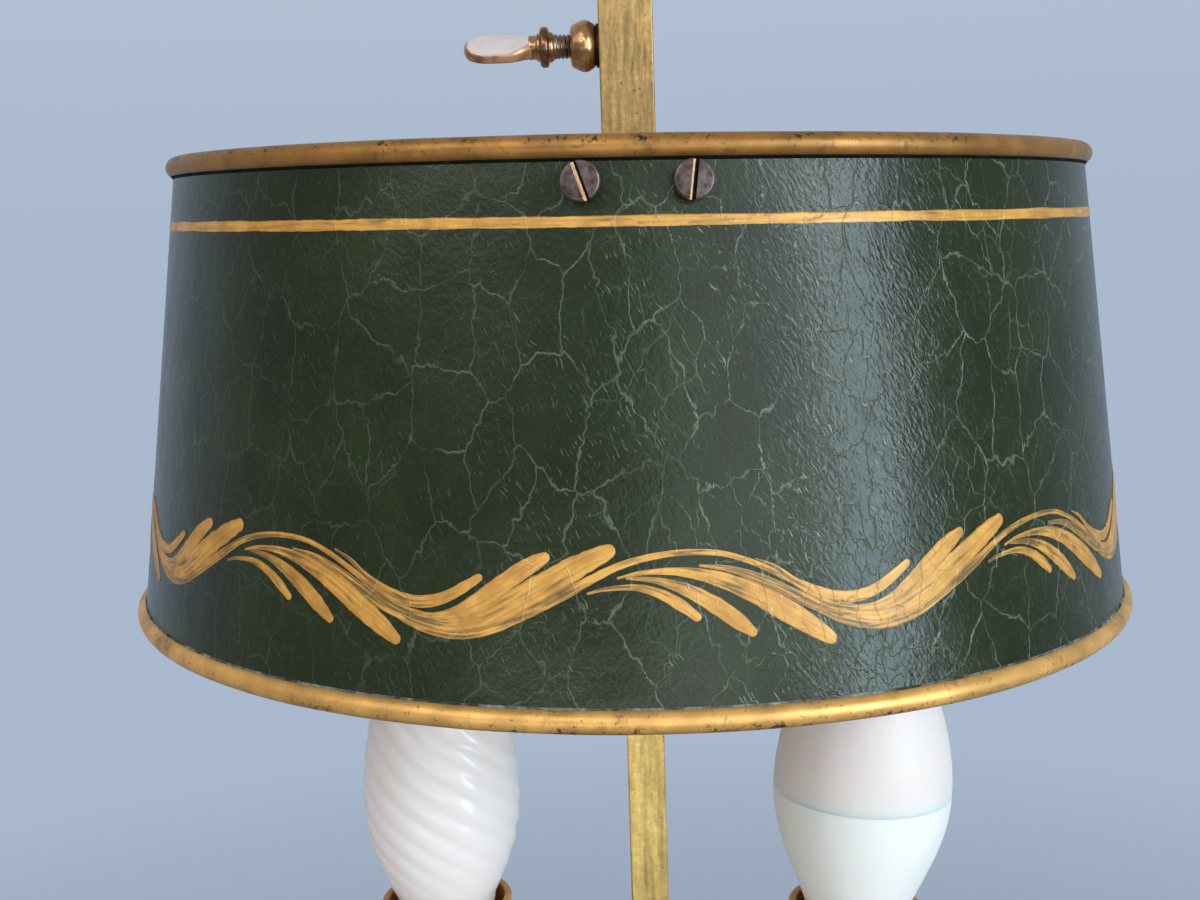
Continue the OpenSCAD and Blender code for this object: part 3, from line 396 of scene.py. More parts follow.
BOX_FACES = [(0, 3, 2, 1), (4, 5, 6, 7), (0, 1, 5, 4), (1, 2, 6, 5), (2, 3, 7, 6), (3, 0, 4, 7)]


def square_tube(outer, inner, z0, z1):
    """Points and faces of a square tube along Z; inner None makes a solid bar."""
    half, hole = outer / 2, (inner or 0) / 2
    points = box_points((-half, -half, z0), (half, half, z1))
    if inner is None:
        return points, BOX_FACES
    points += box_points((-hole, -hole, z0), (hole, hole, z1))
    sides = BOX_FACES[2:]
    inside = [tuple(v + 8 for v in reversed(face)) for face in sides]
    ends = []
    for k in range(4):
        n = (k + 1) % 4
        ends += [(k, k + 8, n + 8, n), (k + 4, n + 4, n + 12, k + 12)]
    return points, sides + inside + ends


# ---- Materials -------------------------------------------------------------------------------

UNROLLED_RADIUS = 0.1
ANGLE_SHARE = 0.15


def toned(tint, *shares):
    """A darker or lighter tint, by one share or by one share for each channel."""
    return [min(1, c * share) for c, share in zip(tint, shares * 3)]


class Finish:
    """A node material: one Principled shader and the nodes that feed it."""

    def __init__(self, name, base, **values):
        self.material = bpy.data.materials.new(name)
        self.material.use_nodes = True
        self.tree = self.material.node_tree
        self.shader = self.tree.nodes["Principled BSDF"]
        self.place = self.node("ShaderNodeTexCoord").outputs["Object"]
        self.normal = None
        self.shader.inputs["Base Color"].default_value = (*base, 1)
        for key, value in values.items():
            self.shader.inputs[key.replace("_", " ")].default_value = value

    def feed(self, socket, value):
        if isinstance(value, bpy.types.NodeSocket):
            self.tree.links.new(value, socket)
        elif socket.type == "RGBA":
            socket.default_value = (*value[:3], 1)
        else:
            socket.default_value = value

    def node(self, kind, inputs=None, **settings):
        node = self.tree.nodes.new(kind)
        for key, value in settings.items():
            setattr(node, key, value)
        for key, value in (inputs or {}).items():
            self.feed(node.inputs[key], value)
        return node

    def math(self, operation, a, b=0.0):
        return self.node("ShaderNodeMath", {0: a, 1: b}, operation=operation).outputs[0]

    def times(self, a, b):
        return self.math("MULTIPLY", a, b)

    def vector(self, operation, inputs, output=0):
        return self.node("ShaderNodeVectorMath", inputs, operation=operation).outputs[output]

    def parts(self, place=None):
        """The three numbers of a place."""
        return self.node("ShaderNodeSeparateXYZ", {0: place or self.place}).outputs

    def marks(self, layer):
        """Place in one of the layers of marks that a piece carries."""
        return self.node("ShaderNodeUVMap", uv_map=layer).outputs[0]

    def stretched(self, scale, place=None):
        node = self.node("ShaderNodeMapping", {"Vector": place or self.place, "Scale": scale})
        return node.outputs[0]

    def noise(self, scale, detail=3.0, place=None, rough=0.55):
        inputs = {"Vector": place or self.place, "Scale": scale, "Detail": detail, "Roughness": rough}
        return self.node("ShaderNodeTexNoise", inputs).outputs[0]

    def clouds(self, scale, detail, stops, rough=0.55):
        """Noise turned into levels or colours."""
        return self.ramp(self.noise(scale, detail, rough=rough), stops)

    def wobbled(self, scale, amount, place=None):
        """The place, shifted by a noise so that lines run unevenly."""
        start = place or self.place
        shift = self.node("ShaderNodeTexNoise", {"Vector": start, "Scale": scale, "Detail": 2.0}).outputs[1]
        moved = self.vector("SUBTRACT", {0: shift, 1: (0.5, 0.5, 0.5)})
        return self.vector("ADD", {0: start, 1: self.vector("SCALE", {0: moved, "Scale": amount})})

    def off_axis(self):
        """Distance from the piece's Z axis."""
        return self.vector("LENGTH", {0: self.vector("MULTIPLY", {0: self.place, 1: (1, 1, 0)})}, "Value")

    def edges(self, scale, place, width):
        """1 on the edges between the cells of a Voronoi pattern and 0 away from them."""
        cells = self.node("ShaderNodeTexVoronoi", {"Vector": place, "Scale": scale},
                          voronoi_dimensions="2D", feature="DISTANCE_TO_EDGE").outputs["Distance"]
        return self.ramp(cells, ((0, 1), (width * scale, 0)))

    def ramp(self, value, stops):
        node = self.node("ShaderNodeValToRGB", {"Fac": value})
        ramp = node.color_ramp
        while len(ramp.elements) < len(stops):
            ramp.elements.new(0.5)
        for element, (position, level) in zip(ramp.elements, stops):
            element.position = position
            element.color = (level, level, level, 1) if isinstance(level, (int, float)) else (*level[:3], 1)
        return node.outputs["Color"]

    def mix(self, factor, a, b):
        node = self.node("ShaderNodeMix", data_type="RGBA")
        for socket, value in ((node.inputs[0], factor), (node.inputs[6], a), (node.inputs[7], b)):
            self.feed(socket, value)
        return node.outputs[2]

    def bump(self, height, distance, strength=1.0):
        inputs = {"Height": height, "Distance": distance, "Strength": strength}
        if self.normal:
            inputs["Normal"] = self.normal
        self.normal = self.node("ShaderNodeBump", inputs).outputs[0]
        self.feed(self.shader.inputs["Normal"], self.normal)

    def paint(self, value):
        self.feed(self.shader.inputs["Base Color"], value)

    def roughness(self, value, low, high):
        self.feed(self.shader.inputs["Roughness"], self.math("ADD", self.times(value, high - low), low))


def simple(name, base, tones, gloss, relief, **values):
    """Finish with clouds of a few tones (scale, detail, stops), uneven gloss (scale, detail, low, high)
    and a fine relief (scale, detail, distance, strength); tones or gloss may be None."""
    f = Finish(name, base, **values)
    if tones:
        f.paint(f.clouds(*tones))
    if gloss:
        f.roughness(f.noise(*gloss[:2]), *gloss[2:])
    f.bump(f.noise(*relief[:2]), *relief[2:])
    return f.material


def turn_from_front(f, way=1):
    """Angle round the shade from the front, or from the back where way is -1."""
    x, y = f.parts()[:2]
    return f.math("ARCTAN2", f.times(x, way), f.times(y, -way))


def unrolled(f, way=1):
    """Place on the unrolled sheet, in metres; its seam is at the back, or in front where way is -1."""
    around = f.times(turn_from_front(f, way), UNROLLED_RADIUS)
    return f.node("ShaderNodeCombineXYZ", {0: around, 1: f.parts()[2]}).outputs[0]


def by_angle(f, stops):
    """Level that depends on the angle from the front, where stops hold (degrees, level)."""
    share = f.math("ADD", f.times(turn_from_front(f), ANGLE_SHARE), 0.5)
    return f.ramp(share, [(0.5 + math.radians(angle) * ANGLE_SHARE, level) for angle, level in stops])


def crack_net(f, shade, way):
    """Main net of wavy cracks that fade in and out, and smaller cracks in patches between them."""
    scale = 1 / shade.crack_size
    coarse = f.wobbled(75, 0.0060, f.stretched((1.15, 0.82, 1), unrolled(f, way)))
    bent = f.wobbled(700, 0.0011, f.wobbled(270, 0.0036, coarse))
    strength = f.clouds(150, 3, ((0.38, 0.3), (0.56, 1)))
    patches = f.clouds(60, 3, ((0.45, 0), (0.60, 0.5)))
    return f.math("MAXIMUM", f.times(f.edges(scale, bent, shade.crack_width), strength),
                  f.times(f.edges(scale * 1.8, bent, shade.crack_width * 0.7), patches))


def cracks(f, shade):
    """Cracks all round, fainter at the left: two nets fade into each other at the sides."""
    behind = f.ramp(f.math("ADD", f.times(f.parts()[1], 15), 0.5), ((0.3, 0), (0.7, 1)))
    net = f.mix(behind, crack_net(f, shade, 1), crack_net(f, shade, -1))
    return f.times(net, by_angle(f, ((-70, 0.6), (-45, 0.25), (-12, 0.50), (8, 0.9), (70, 1))))


def grain(f, shade, scale):
    """Noise drawn out along the slope of the splits."""
    place = f.wobbled(220, 0.0022, unrolled(f))
    turned = f.node("ShaderNodeVectorRotate", {"Vector": place, "Angle": shade.split_lean},
                    rotation_type="Z_AXIS").outputs[0]
    return f.noise(1.0, 1.5, f.stretched(scale, turned), 0.45)


def ticks(f, shade):
    """Fine short slanting splits in the lacquer, most of them right of the front, in the band where the
    window light's sheen falls.
    """
    splits = f.ramp(grain(f, shade, (430, 3000, 1)), ((0.64, 0), (0.67, 1)))
    patches = f.clouds(90, 3, ((0.44, 0), (0.56, 1)))
    # This mask follows the band of the window light's sheen rather than wear, so the pale splits in it are
    # partly painted glints.
    worn = by_angle(f, ((-60, 0.1), (-15, 0.25), (5, 0.9), (22, 1), (32, 0.4), (50, 0.2)))
    return f.times(f.times(splits, patches), worn)


def lacquer(shade):
    f = Finish("green_lacquer", shade.lacquer, Specular_IOR_Level=0.36)
    deep, pale = toned(shade.lacquer, 0.72), toned(shade.lacquer, 1.30)
    mottle = f.clouds(60, 5, ((0.34, deep), (0.5, shade.lacquer), (0.68, pale)))
    dusted = f.mix(f.clouds(1500, 2, ((0.62, 0), (0.80, 0.20))), mottle, shade.crack_colour)
    net, splits = cracks(f, shade), ticks(f, shade)
    lines = f.math("MAXIMUM", f.times(net, 0.85), f.times(splits, 0.75))
    # The splits are real cracks; their tone paler than the cracks is a painted glint of the window light.
    f.paint(f.mix(lines, dusted, f.mix(splits, shade.crack_colour, toned(shade.crack_colour, 1.9))))
    f.roughness(f.noise(220, 3), 0.20, 0.34)
    ripples = f.times(grain(f, shade, (640, 1700, 1)), f.clouds(140, 3, ((0.35, 0.3), (0.60, 1))))
    rough = by_angle(f, ((-60, 0.1), (-15, 0.25), (8, 0.7), (30, 1), (55, 0.4)))
    f.bump(f.times(ripples, rough), 0.00013, 0.8)
    f.bump(f.noise(1100, 2), 0.00010, 0.6)
    f.bump(f.noise(110, 2), 0.0005, 0.35)
    f.bump(net, 0.00010, 0.8)
    f.bump(splits, 0.00014, 1.0)
    return f.material


def lining_paint(shade):
    tones = ((0.35, toned(shade.lining, 0.72)), (0.65, shade.lining))
    return simple("lining_paint", shade.lining, (35, 4, tones), None, (500, 3, 0.0001, 0.4), Roughness=0.6)


def gold_paint(shade, border):
    """Brushed gold paint: streaks run along the strokes, and the lacquer's cracks go through it."""
    f = Finish("gold_paint", border.gold, Metallic=0.12, Roughness=0.40)
    strokes, wear = f.marks("strokes"), f.parts(f.marks("wear"))
    streaks = f.noise(1.0, 4, f.stretched((0.10, 1.9, 1), strokes), 0.6)
    patches = f.noise(1.0, 2, f.stretched((0.16, 0.5, 1), strokes))
    dryness = f.math("ADD", f.times(wear[0], -0.44), f.math("ADD", patches, 0.12))
    dry = f.ramp(dryness, ((0.36, 0), (0.58, 1)))
    thin = f.ramp(f.math("ADD", streaks, f.times(dry, 0.10)), ((0.50, 0), (0.64, 1)))
    kept = f.times(f.times(thin, dry), f.ramp(wear[1], ((0.70, 1), (0.95, 0.3))))
    brown = toned(border.gold, 0.62, 0.52, 0.45)
    body = f.ramp(streaks, ((0.32, toned(border.gold, 1.15)), (0.50, border.gold), (0.70, brown)))
    clouded = f.mix(f.clouds(230, 4, ((0.42, 0), (0.66, 0.75))), body, brown)
    rimmed = f.mix(f.ramp(wear[1], ((0.80, 0), (1.0, 0.55))), clouded, toned(brown, 0.6))
    net, splits = cracks(f, shade), ticks(f, shade)
    worn = f.mix(f.times(kept, 0.9), rimmed, border.dry)
    pale = f.mix(f.times(net, 0.35), worn, (0.75, 0.55, 0.30))
    f.paint(f.mix(f.times(splits, 0.35), pale, (0.30, 0.18, 0.065)))
    f.bump(streaks, 0.00005, 0.6)
    f.bump(net, 0.00014, 0.9)
    f.bump(splits, 0.00014, -0.9)
    return f.material


def gilt(name, metal, wear, chips, level=None):
    """Aged gilding with rubbed and dirty patches and small dark chips.

    A level makes a rim wire's gilding lighter or darker as painted light and shade; the wire's marks place
    chips of wear near its crest and painted shade on its underside."""
    base = toned(metal.gilt, *(level or (1,)))
    f = Finish(name, base, Metallic=0.6)
    tone = f.clouds(140, 5, ((0.32, toned(base, 0.76)), (0.5, base), (0.66, toned(base, 1.25))))
    dirt = f.clouds(60, 6, ((wear, 0), (wear + 0.18, 0.6)), 0.7)
    speckles = f.clouds(1300, 3, ((0.64, 0), (0.70, 0.75)), 0.6)
    aged = f.mix(speckles, f.mix(dirt, tone, metal.gilt_worn_and_shaded), metal.gilt_worn_and_shaded)
    where = f.clouds(120, 2, ((0.48, 0), (0.60, chips)))
    if level:
        rubbed, under = f.parts(f.marks("wear"))[:2]
        lengthwise = f.clouds(90, 3, ((0.46, 0), (0.54, 1)))
        where = f.math("MAXIMUM", f.times(where, 0.4), f.times(rubbed, lengthwise))
        # Painted shade: the underside of a rim wire darkens towards the worn gilt tone.
        aged = f.mix(f.times(under, 0.75), aged, metal.gilt_worn_and_shaded)
    spots = f.times(f.clouds(800, 4, ((0.54, 0), (0.60, 1)), 0.7), where)
    f.paint(f.mix(spots, aged, (0.022, 0.018, 0.012)))
    f.roughness(f.noise(300, 4), 0.32, 0.56)
    f.bump(f.noise(450, 4), 0.00014, 0.6)
    f.bump(spots, 0.0001, -0.8)
    return f.material


def brass(name, base, metal, streak, patina=0.6, smooth=0.24, contrast=1.0, wave=0.0014):
    """Drawn or turned brass: fine streaks one way, with patina in patches."""
    f = Finish(name, base, Metallic=0.65)
    uneven = f.wobbled(130, wave)
    drawn = f.noise(1.0, 4, f.stretched(streak, uneven), 0.65)
    lines = f.math("ADD", f.times(drawn, 0.6), f.times(f.noise(900, 4), 0.4))
    broad = f.noise(1.0, 3, f.stretched([s * 0.3 for s in streak], uneven), 0.6)
    dark, pale = toned(base, 1 - 0.40 * contrast), toned(base, 1 + 0.55 * contrast)
    tone = f.ramp(lines, ((0.32, dark), (0.50, base), (0.68, pale)))
    stain = f.times(f.ramp(broad, ((0.44, 0), (0.62, 0.7 * contrast))),
                    f.clouds(90, 4, ((0.35, 0.1), (patina, 1))))
    specks = f.clouds(1400, 2, ((0.68, 0), (0.74, 0.8)))
    f.paint(f.mix(specks, f.mix(stain, tone, metal.patina), toned(metal.patina, 0.5)))
    f.roughness(lines, smooth, smooth + 0.28)
    f.bump(lines, 0.00006, 0.5)
    return f.material


def bronze(name, base, dark, smooth=0.14):
    """Handled bronze: polished high places over a browner tone."""
    f = Finish(name, base, Metallic=0.9)
    rub = f.clouds(260, 4, ((0.36, dark), (0.56, base)))
    scratches = f.noise(1.0, 3, f.stretched((300, 2600, 2600)), 0.7)
    f.paint(f.mix(f.ramp(scratches, ((0.60, 0), (0.74, 0.4))), rub, toned(dark, 0.45)))
    f.roughness(scratches, smooth, smooth + 0.18)
    f.bump(scratches, 0.00002, 0.4)
    return f.material


def collar_bronze(thumb, metal):
    """Golden neck and shoulder, with a darker red-brown tone on the collar's rim."""
    f = Finish("collar_bronze", metal.boss, Metallic=0.9)
    share = f.math("DIVIDE", f.off_axis(), thumb.collar_d / 2)
    tone = f.ramp(share, ((0.70, metal.boss), (0.80, toned(metal.bronze, 0.45))))
    f.paint(f.mix(f.clouds(500, 4, ((0.42, 0), (0.62, 0.7))), tone, toned(metal.bronze, 0.22)))
    f.roughness(f.noise(600, 3), 0.16, 0.36)
    f.bump(f.noise(900, 3), 0.00003, 0.5)
    return f.material


def rubbed_wing(metal, through):
    """Wing whose flat sides are rubbed pale and whose edge stays coppery."""
    f = Finish("wing_bronze", metal.polished, Metallic=0.35)
    normal = f.node("ShaderNodeTexCoord").outputs["Normal"]
    facing = f.vector("DOT_PRODUCT", {0: normal, 1: through}, "Value")
    flat = f.ramp(f.math("ABSOLUTE", facing), ((0.70, 0), (0.96, 1)))
    cloudy = f.clouds(190, 4, ((0.36, toned(metal.polished, 0.88)), (0.60, metal.polished)))
    edge = f.clouds(420, 4, ((0.38, toned(metal.bronze, 0.45)), (0.60, metal.bronze)))
    f.paint(f.mix(flat, edge, cloudy))
    f.roughness(f.noise(500, 3), 0.22, 0.42)
    f.bump(f.noise(1.0, 3, f.stretched((300, 2600, 2600)), 0.7), 0.00002, 0.4)
    return f.material


def screw_metal(shade, metal):
    """Dark screw with a painted highlight round the edge of its head; one wall of its slot is painted bright
    as lit bare metal and the other black as shade.
    """
    f = Finish("screw_metal", metal.screw, Metallic=0.85)
    mottle = f.clouds(900, 4, ((0.35, toned(metal.screw, 0.55)), (0.62, toned(metal.screw, 1.9))))
    uneven = f.times(f.math("SUBTRACT", f.noise(1800, 2), 0.5), 0.00022)
    across = f.math("ADD", f.parts()[1], uneven)
    slot = f.math("LESS_THAN", f.math("ABSOLUTE", across), shade.slot_w / 2 + 0.00005)
    # One wall of the slot is painted bright as lit bare metal, the other near-black as painted shade.
    painted_lit_and_shaded_walls = f.mix(f.math("GREATER_THAN", across, 0.00002), (0.006, 0.005, 0.004), metal.slot)
    # Painted highlight: a paler ring round the edge of the head.
    rim = f.ramp(f.times(f.off_axis(), 300), ((0.80, 0), (0.86, 0.7)))
    f.paint(f.mix(slot, f.mix(rim, mottle, toned(metal.screw, 3.5)), painted_lit_and_shaded_walls))
    f.roughness(f.noise(700, 3), 0.28, 0.55)
    f.bump(f.noise(1500, 4), 0.00005, 0.7)
    return f.material


def frosted_glass(light):
    f = Finish("frosted_glass", light.glass, Roughness=0.5, IOR=1.46, Coat_Weight=0.5, Coat_Roughness=0.04,
               Subsurface_Weight=1.0, Subsurface_Scale=0.012, Subsurface_Radius=(1.0, 0.95, 0.9))
    warm = toned(light.glass, 1, 0.985, 0.955)
    f.paint(f.mix(f.clouds(70, 3, ((0.4, 0), (0.6, 1))), light.glass, warm))
    f.bump(f.noise(260, 3), 0.00015, 0.4)
    return f.material


def plastic(name, base, rough, grit=900, soft=0.0):
    return simple(name, base, (grit * 0.08, 3, ((0, base), (1, toned(base, 0.94)))),
                  (grit * 0.2, 2, rough - 0.05, rough + 0.08), (grit, 3, 0.00003, 0.5),
                  Roughness=rough, Subsurface_Weight=soft, Subsurface_Scale=0.004)


def cast_iron():
    tones = ((0.35, (0.03, 0.03, 0.032)), (0.65, (0.11, 0.105, 0.10)))
    return simple("cast_iron", (0.05, 0.05, 0.052), (400, 6, tones), (300, 4, 0.5, 0.75),
                  (700, 6, 0.0005, 0.8), Metallic=0.6)


def felt():
    tones = ((0.35, (0.006, 0.026, 0.011)), (0.65, (0.022, 0.070, 0.032)))
    return simple("felt", (0.012, 0.045, 0.020), (2500, 5, tones), None, (3000, 5, 0.0003, 0.9),
                  Roughness=0.95, Sheen_Weight=0.4)


def zinc():
    tones = ((0.35, (0.36, 0.36, 0.38)), (0.65, (0.58, 0.58, 0.60)))
    return simple("zinc", (0.50, 0.50, 0.52), (500, 4, tones), (800, 4, 0.28, 0.5),
                  (1200, 3, 0.00004, 0.5), Metallic=0.9)


def clear_glass():
    return simple("clear_glass", (0.86, 0.89, 0.89), None, (300, 3, 0.03, 0.12), (400, 2, 0.00004, 0.3),
                  Roughness=0.05, Transmission_Weight=0.8, IOR=1.46)


def dust_and_shadow_fillet(name, dark, middle, pale):
    """Flat tone for the fillets where the rims meet the sheet: real dust along the bottom rim, and painted
    shadow under the top rim.
    """
    tones = ((0.38, dark), (0.52, middle), (0.68, pale))
    return simple(name, middle, (260, 6, tones, 0.7), None, (1500, 5, 0.0002, 0.9),
                  Roughness=0.85, Specular_IOR_Level=0.1)


# ---- Brush strokes of the border -------------------------------------------------------------

# Each stroke runs from its root to its tip: degrees along the shade from the unit's lowest point,
# millimetres above the bottom wire, and half its width in millimetres. The wash is thin paint all along.
STROKES = {
    "vine": (
        (-7.5, 16.6, 0.2), (-6, 15.4, 0.5), (-4.2, 14.1, 0.8), (-1.6, 13.0, 1.0), (0.9, 12.9, 1.1),
        (3.4, 13.8, 1.1), (5.8, 15.5, 1.05), (8.2, 17.4, 0.95), (10.5, 19.3, 0.8), (12.9, 21.5, 0.65),
        (15.0, 23.2, 0.55), (17.6, 24.5, 0.5), (20.8, 25.2, 0.45), (24.2, 24.9, 0.42), (26.9, 23.5, 0.42),
        (28.8, 22.0, 0.45), (30.7, 20.3, 0.5), (32.4, 18.7, 0.5), (34.7, 16.9, 0.45), (36.3, 15.7, 0.35)),
    "wash": (
        (22.5, 23.3, 0.2), (25.3, 22.6, 0.5), (28.0, 20.9, 0.8), (30.8, 18.5, 0.9), (33.2, 16.3, 0.8),
        (35.5, 14.6, 0.5)),
    "down_short": (
        (12.5, 19.3, 0.2), (14.2, 20.0, 0.3), (16.9, 20.2, 0.5), (19.1, 19.1, 0.75), (20.9, 17.3, 0.9),
        (22.2, 15.6, 0.65)),
    "down_middle": (
        (15.8, 21.6, 0.2), (18.6, 21.1, 0.5), (21.2, 19.6, 0.95), (23.6, 17.3, 1.25), (25.6, 14.8, 1.2),
        (27.0, 12.9, 0.7)),
    "down_long": (
        (15.2, 21.6, 0.2), (17.4, 22.4, 0.35), (20.6, 22.5, 0.65), (24.0, 21.3, 1.1), (27.2, 19.0, 1.5),
        (30.4, 15.8, 1.75), (32.9, 13.0, 1.5), (34.5, 11.1, 0.9)),
    "up_long": (
        (-9.5, 18.9, 0.2), (-7.7, 17.5, 0.35), (-5.9, 16.0, 0.6), (-2.6, 14.5, 1.0), (-0.3, 14.1, 1.3),
        (2.7, 15.1, 1.65), (5.1, 17.1, 1.8), (7.5, 19.5, 1.85), (9.8, 21.7, 1.8), (12.2, 23.9, 1.55),
        (14.2, 25.5, 1.1)),
    "up_middle": (
        (-9.3, 20.0, 0.2), (-7.6, 18.2, 0.35), (-5.3, 16.3, 0.4), (-3.7, 15.5, 0.45), (-1.6, 15.2, 0.55),
        (0.4, 15.9, 0.85), (2.4, 17.5, 1.3), (4.3, 19.7, 1.5), (6.3, 22.2, 1.45), (7.7, 23.7, 1.25),
        (8.8, 24.7, 0.9)),
    "up_short": (
        (-12.5, 24.0, 0.15), (-10.6, 22.6, 0.3), (-8.8, 20.4, 0.45), (-6.7, 18.5, 0.75), (-4.8, 17.4, 0.9),
        (-2.7, 17.2, 0.95), (-0.6, 18.1, 0.9), (1.4, 20.0, 0.8), (2.6, 21.3, 0.6)),
}


def spline(knots, steps):
    """Points of a smooth curve through knots, with steps points for each span."""
    ends = [knots[0] * 2 - knots[1], *knots, knots[-1] * 2 - knots[-2]]
    points = []
    for i in range(1, len(ends) - 2):
        a, b, c, d = ends[i - 1:i + 3]
        for k in range(steps):
            t = k / steps
            points.append(0.5 * (2 * b + (c - a) * t + (2 * a - 5 * b + 4 * c - d) * t ** 2
                                 + (3 * b - a - 3 * c + d) * t ** 3))
    return points + [knots[-1]]


def brush_stroke(cone, knots, turn, lift, thickness, draw):
    """Points, faces and marks of one stroke with a round tip, raised on the cone."""
    arc = cone.low_r / MM * math.pi / 180
    line = spline([Vector((x * arc, h, w)) for x, h, w in knots], 8)
    tip, heading = line[-1], (line[-1] - line[-2]).xy.normalized()
    tip_steps, across = 6, 6
    for k in range(1, tip_steps + 1):
        t = k / tip_steps
        place = tip.xy + heading * tip.z * t
        line.append(Vector((place.x, place.y, tip.z * math.sqrt(max(1 - t * t, 0.0004)))))
    seed = draw.uniform(0, 100)
    points, marks, walked = [], [], 0.0
    for i, p in enumerate(line):
        ahead, back = line[min(i + 1, len(line) - 1)].xy, line[max(i - 1, 0)].xy
        side = Vector((ahead.y - back.y, back.x - ahead.x)).normalized()
        walked += (p.xy - back).length if i else 0
        uneven = 1 + 0.10 * noise.noise(Vector((walked * 0.8, seed, 0)))
        for k in range(across + 1):
            v = 2 * k / across - 1
            spot = p.xy + side * (v * p.z * uneven)
            crown = lift + thickness * (1 - 0.7 * v * v)
            points.append(cone.local(turn + math.radians(spot.x / arc), spot.y * MM, crown))
            marks.append((walked + seed, v * p.z + seed, i / len(line), abs(v)))
    rows, columns, top = len(line), across + 1, len(points)
    for point in points[:]:
        radial = Vector((point.x, point.y, 0)).normalized()
        points.append(point - radial * (thickness + lift + 0.00005))
    crest = grid_faces(rows, columns, close_columns=False)
    faces = crest + [tuple(top + v for v in reversed(face)) for face in crest]
    loop = ([i * columns for i in range(rows)] + [(rows - 1) * columns + k for k in range(1, columns)]
            + [i * columns + columns - 1 for i in range(rows - 2, -1, -1)] + list(range(columns - 2, 0, -1)))
    for i, a in enumerate(loop):
        b = loop[(i + 1) % len(loop)]
        faces.append((a, top + a, top + b, b))
    return points, faces, marks * 2


# ---- Operators: the shade --------------------------------------------------------------------

class LAMP_OT_shade_sheet(Operator):
    """Makes the lacquered sheet of the shade, its lining, the dust along the bottom rim and a painted shadow
    under the top rim
    """

    bl_idname = "lamp.shade_sheet"
    bl_label = "Shade sheet"

    def execute(self, context):
        shade = context.scene.lamp_shade
        cone = Cone(shade)
        inset = shade.wire * 0.3
        rows, around = 60, 720
        heights = [inset + (cone.height - 2 * inset) * i / (rows - 1) for i in range(rows)]
        outer = [(cone.radius(h) + shade.wall / 2, h) for h in heights]
        inner = [(cone.radius(h) - shade.wall / 2, h) for h in reversed(heights)]
        sheet = lathe("shade_sheet", outer + inner, "shade", lacquer(shade),
                      cone.frame, around, sharp=60)
        sheet.data.materials.append(lining_paint(shade))
        for face in sheet.data.polygons:
            if face.normal.xy.dot(Vector(face.center[:2])) < 0:
                face.material_index = 1
        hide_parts("shade_shell")
        self.dirt(shade, cone)
        return {"FINISHED"}

    def dirt(self, shade, cone):
        """A fillet of dust above the bottom rim, and a near-black fillet below the top rim that is the
        painted shadow under that rim.
        """
        dust = dust_and_shadow_fillet("dust", (0.030, 0.034, 0.026), (0.12, 0.125, 0.105), (0.30, 0.30, 0.26))
        # Painted shadow: a near-black fillet stands for the shade in the gap under the top rim.
        painted_rim_shadow = dust_and_shadow_fillet("painted_rim_shadow", (0.003, 0.003, 0.003), (0.004, 0.005, 0.004), (0.012, 0.016, 0.010))
        edge = shade.wire / 2 * 0.93
        dirt = (("dirt_low", edge, 1, 0.00042, dust), ("shadow_fillet_high", cone.height - edge, -1, 0.00045, painted_rim_shadow))
        for name, h, way, size, finish in dirt:
            face = cone.radius(h) + shade.wall / 2
            line = [(face - 0.0001, h - way * 0.0004), (face + size, h - way * 0.0002),
                    (face + size * 0.3, h + way * size * 0.5), (face - 0.0001, h + way * size)]
            lathe(name, line, "shade", finish, cone.frame, 360, sharp=80)


class LAMP_OT_rims(Operator):
    """Makes the two gilt rim wires with the slight unevenness of hand work"""

    bl_idname = "lamp.rims"
    bl_label = "Rims"

    def execute(self, context):
        shade, metal = context.scene.lamp_shade, context.scene.lamp_metal
        cone = Cone(shade)
        around, sides = 480, 28
        # The bottom wire's gilding is painted lighter and the top wire's darker: painted light on one,
        # painted shade on the other.
        for name, h, chipped, level in (("bottom_rim", 0.0, -38, (1.28, 1.40, 1.65)),
                                        ("top_rim", cone.height, 38, (0.60, 0.56, 0.52))):
            finish = gilt(name + "_gilt", metal, 0.56, 1.0, level)
            points, marks = [], []
            for a in turns(around):
                spot = Vector(polar(5, a, h * 90)) * 1.3
                for b in turns(sides):
                    dent = 0.000045 * noise.noise(spot + Vector((0, 0, math.sin(b))))
                    r = shade.wire / 2 - 0.00003 + dent
                    points.append(polar(cone.radius(h) + r * math.cos(b), a, h + r * math.sin(b)))
                    # Marks: chips of wear near the crest, and painted shade on the underside.
                    marks.append((0, 0, max(0, math.cos(b - math.radians(chipped))) ** 8,
                                  max(0, -math.sin(b)) ** 3))
            rim = piece(name + "_wire", points, grid_faces(around, sides, close_rows=True), "shade", finish,
                        cone.frame, marks=marks)
            outwards(rim)
            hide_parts(name)
        return {"FINISHED"}


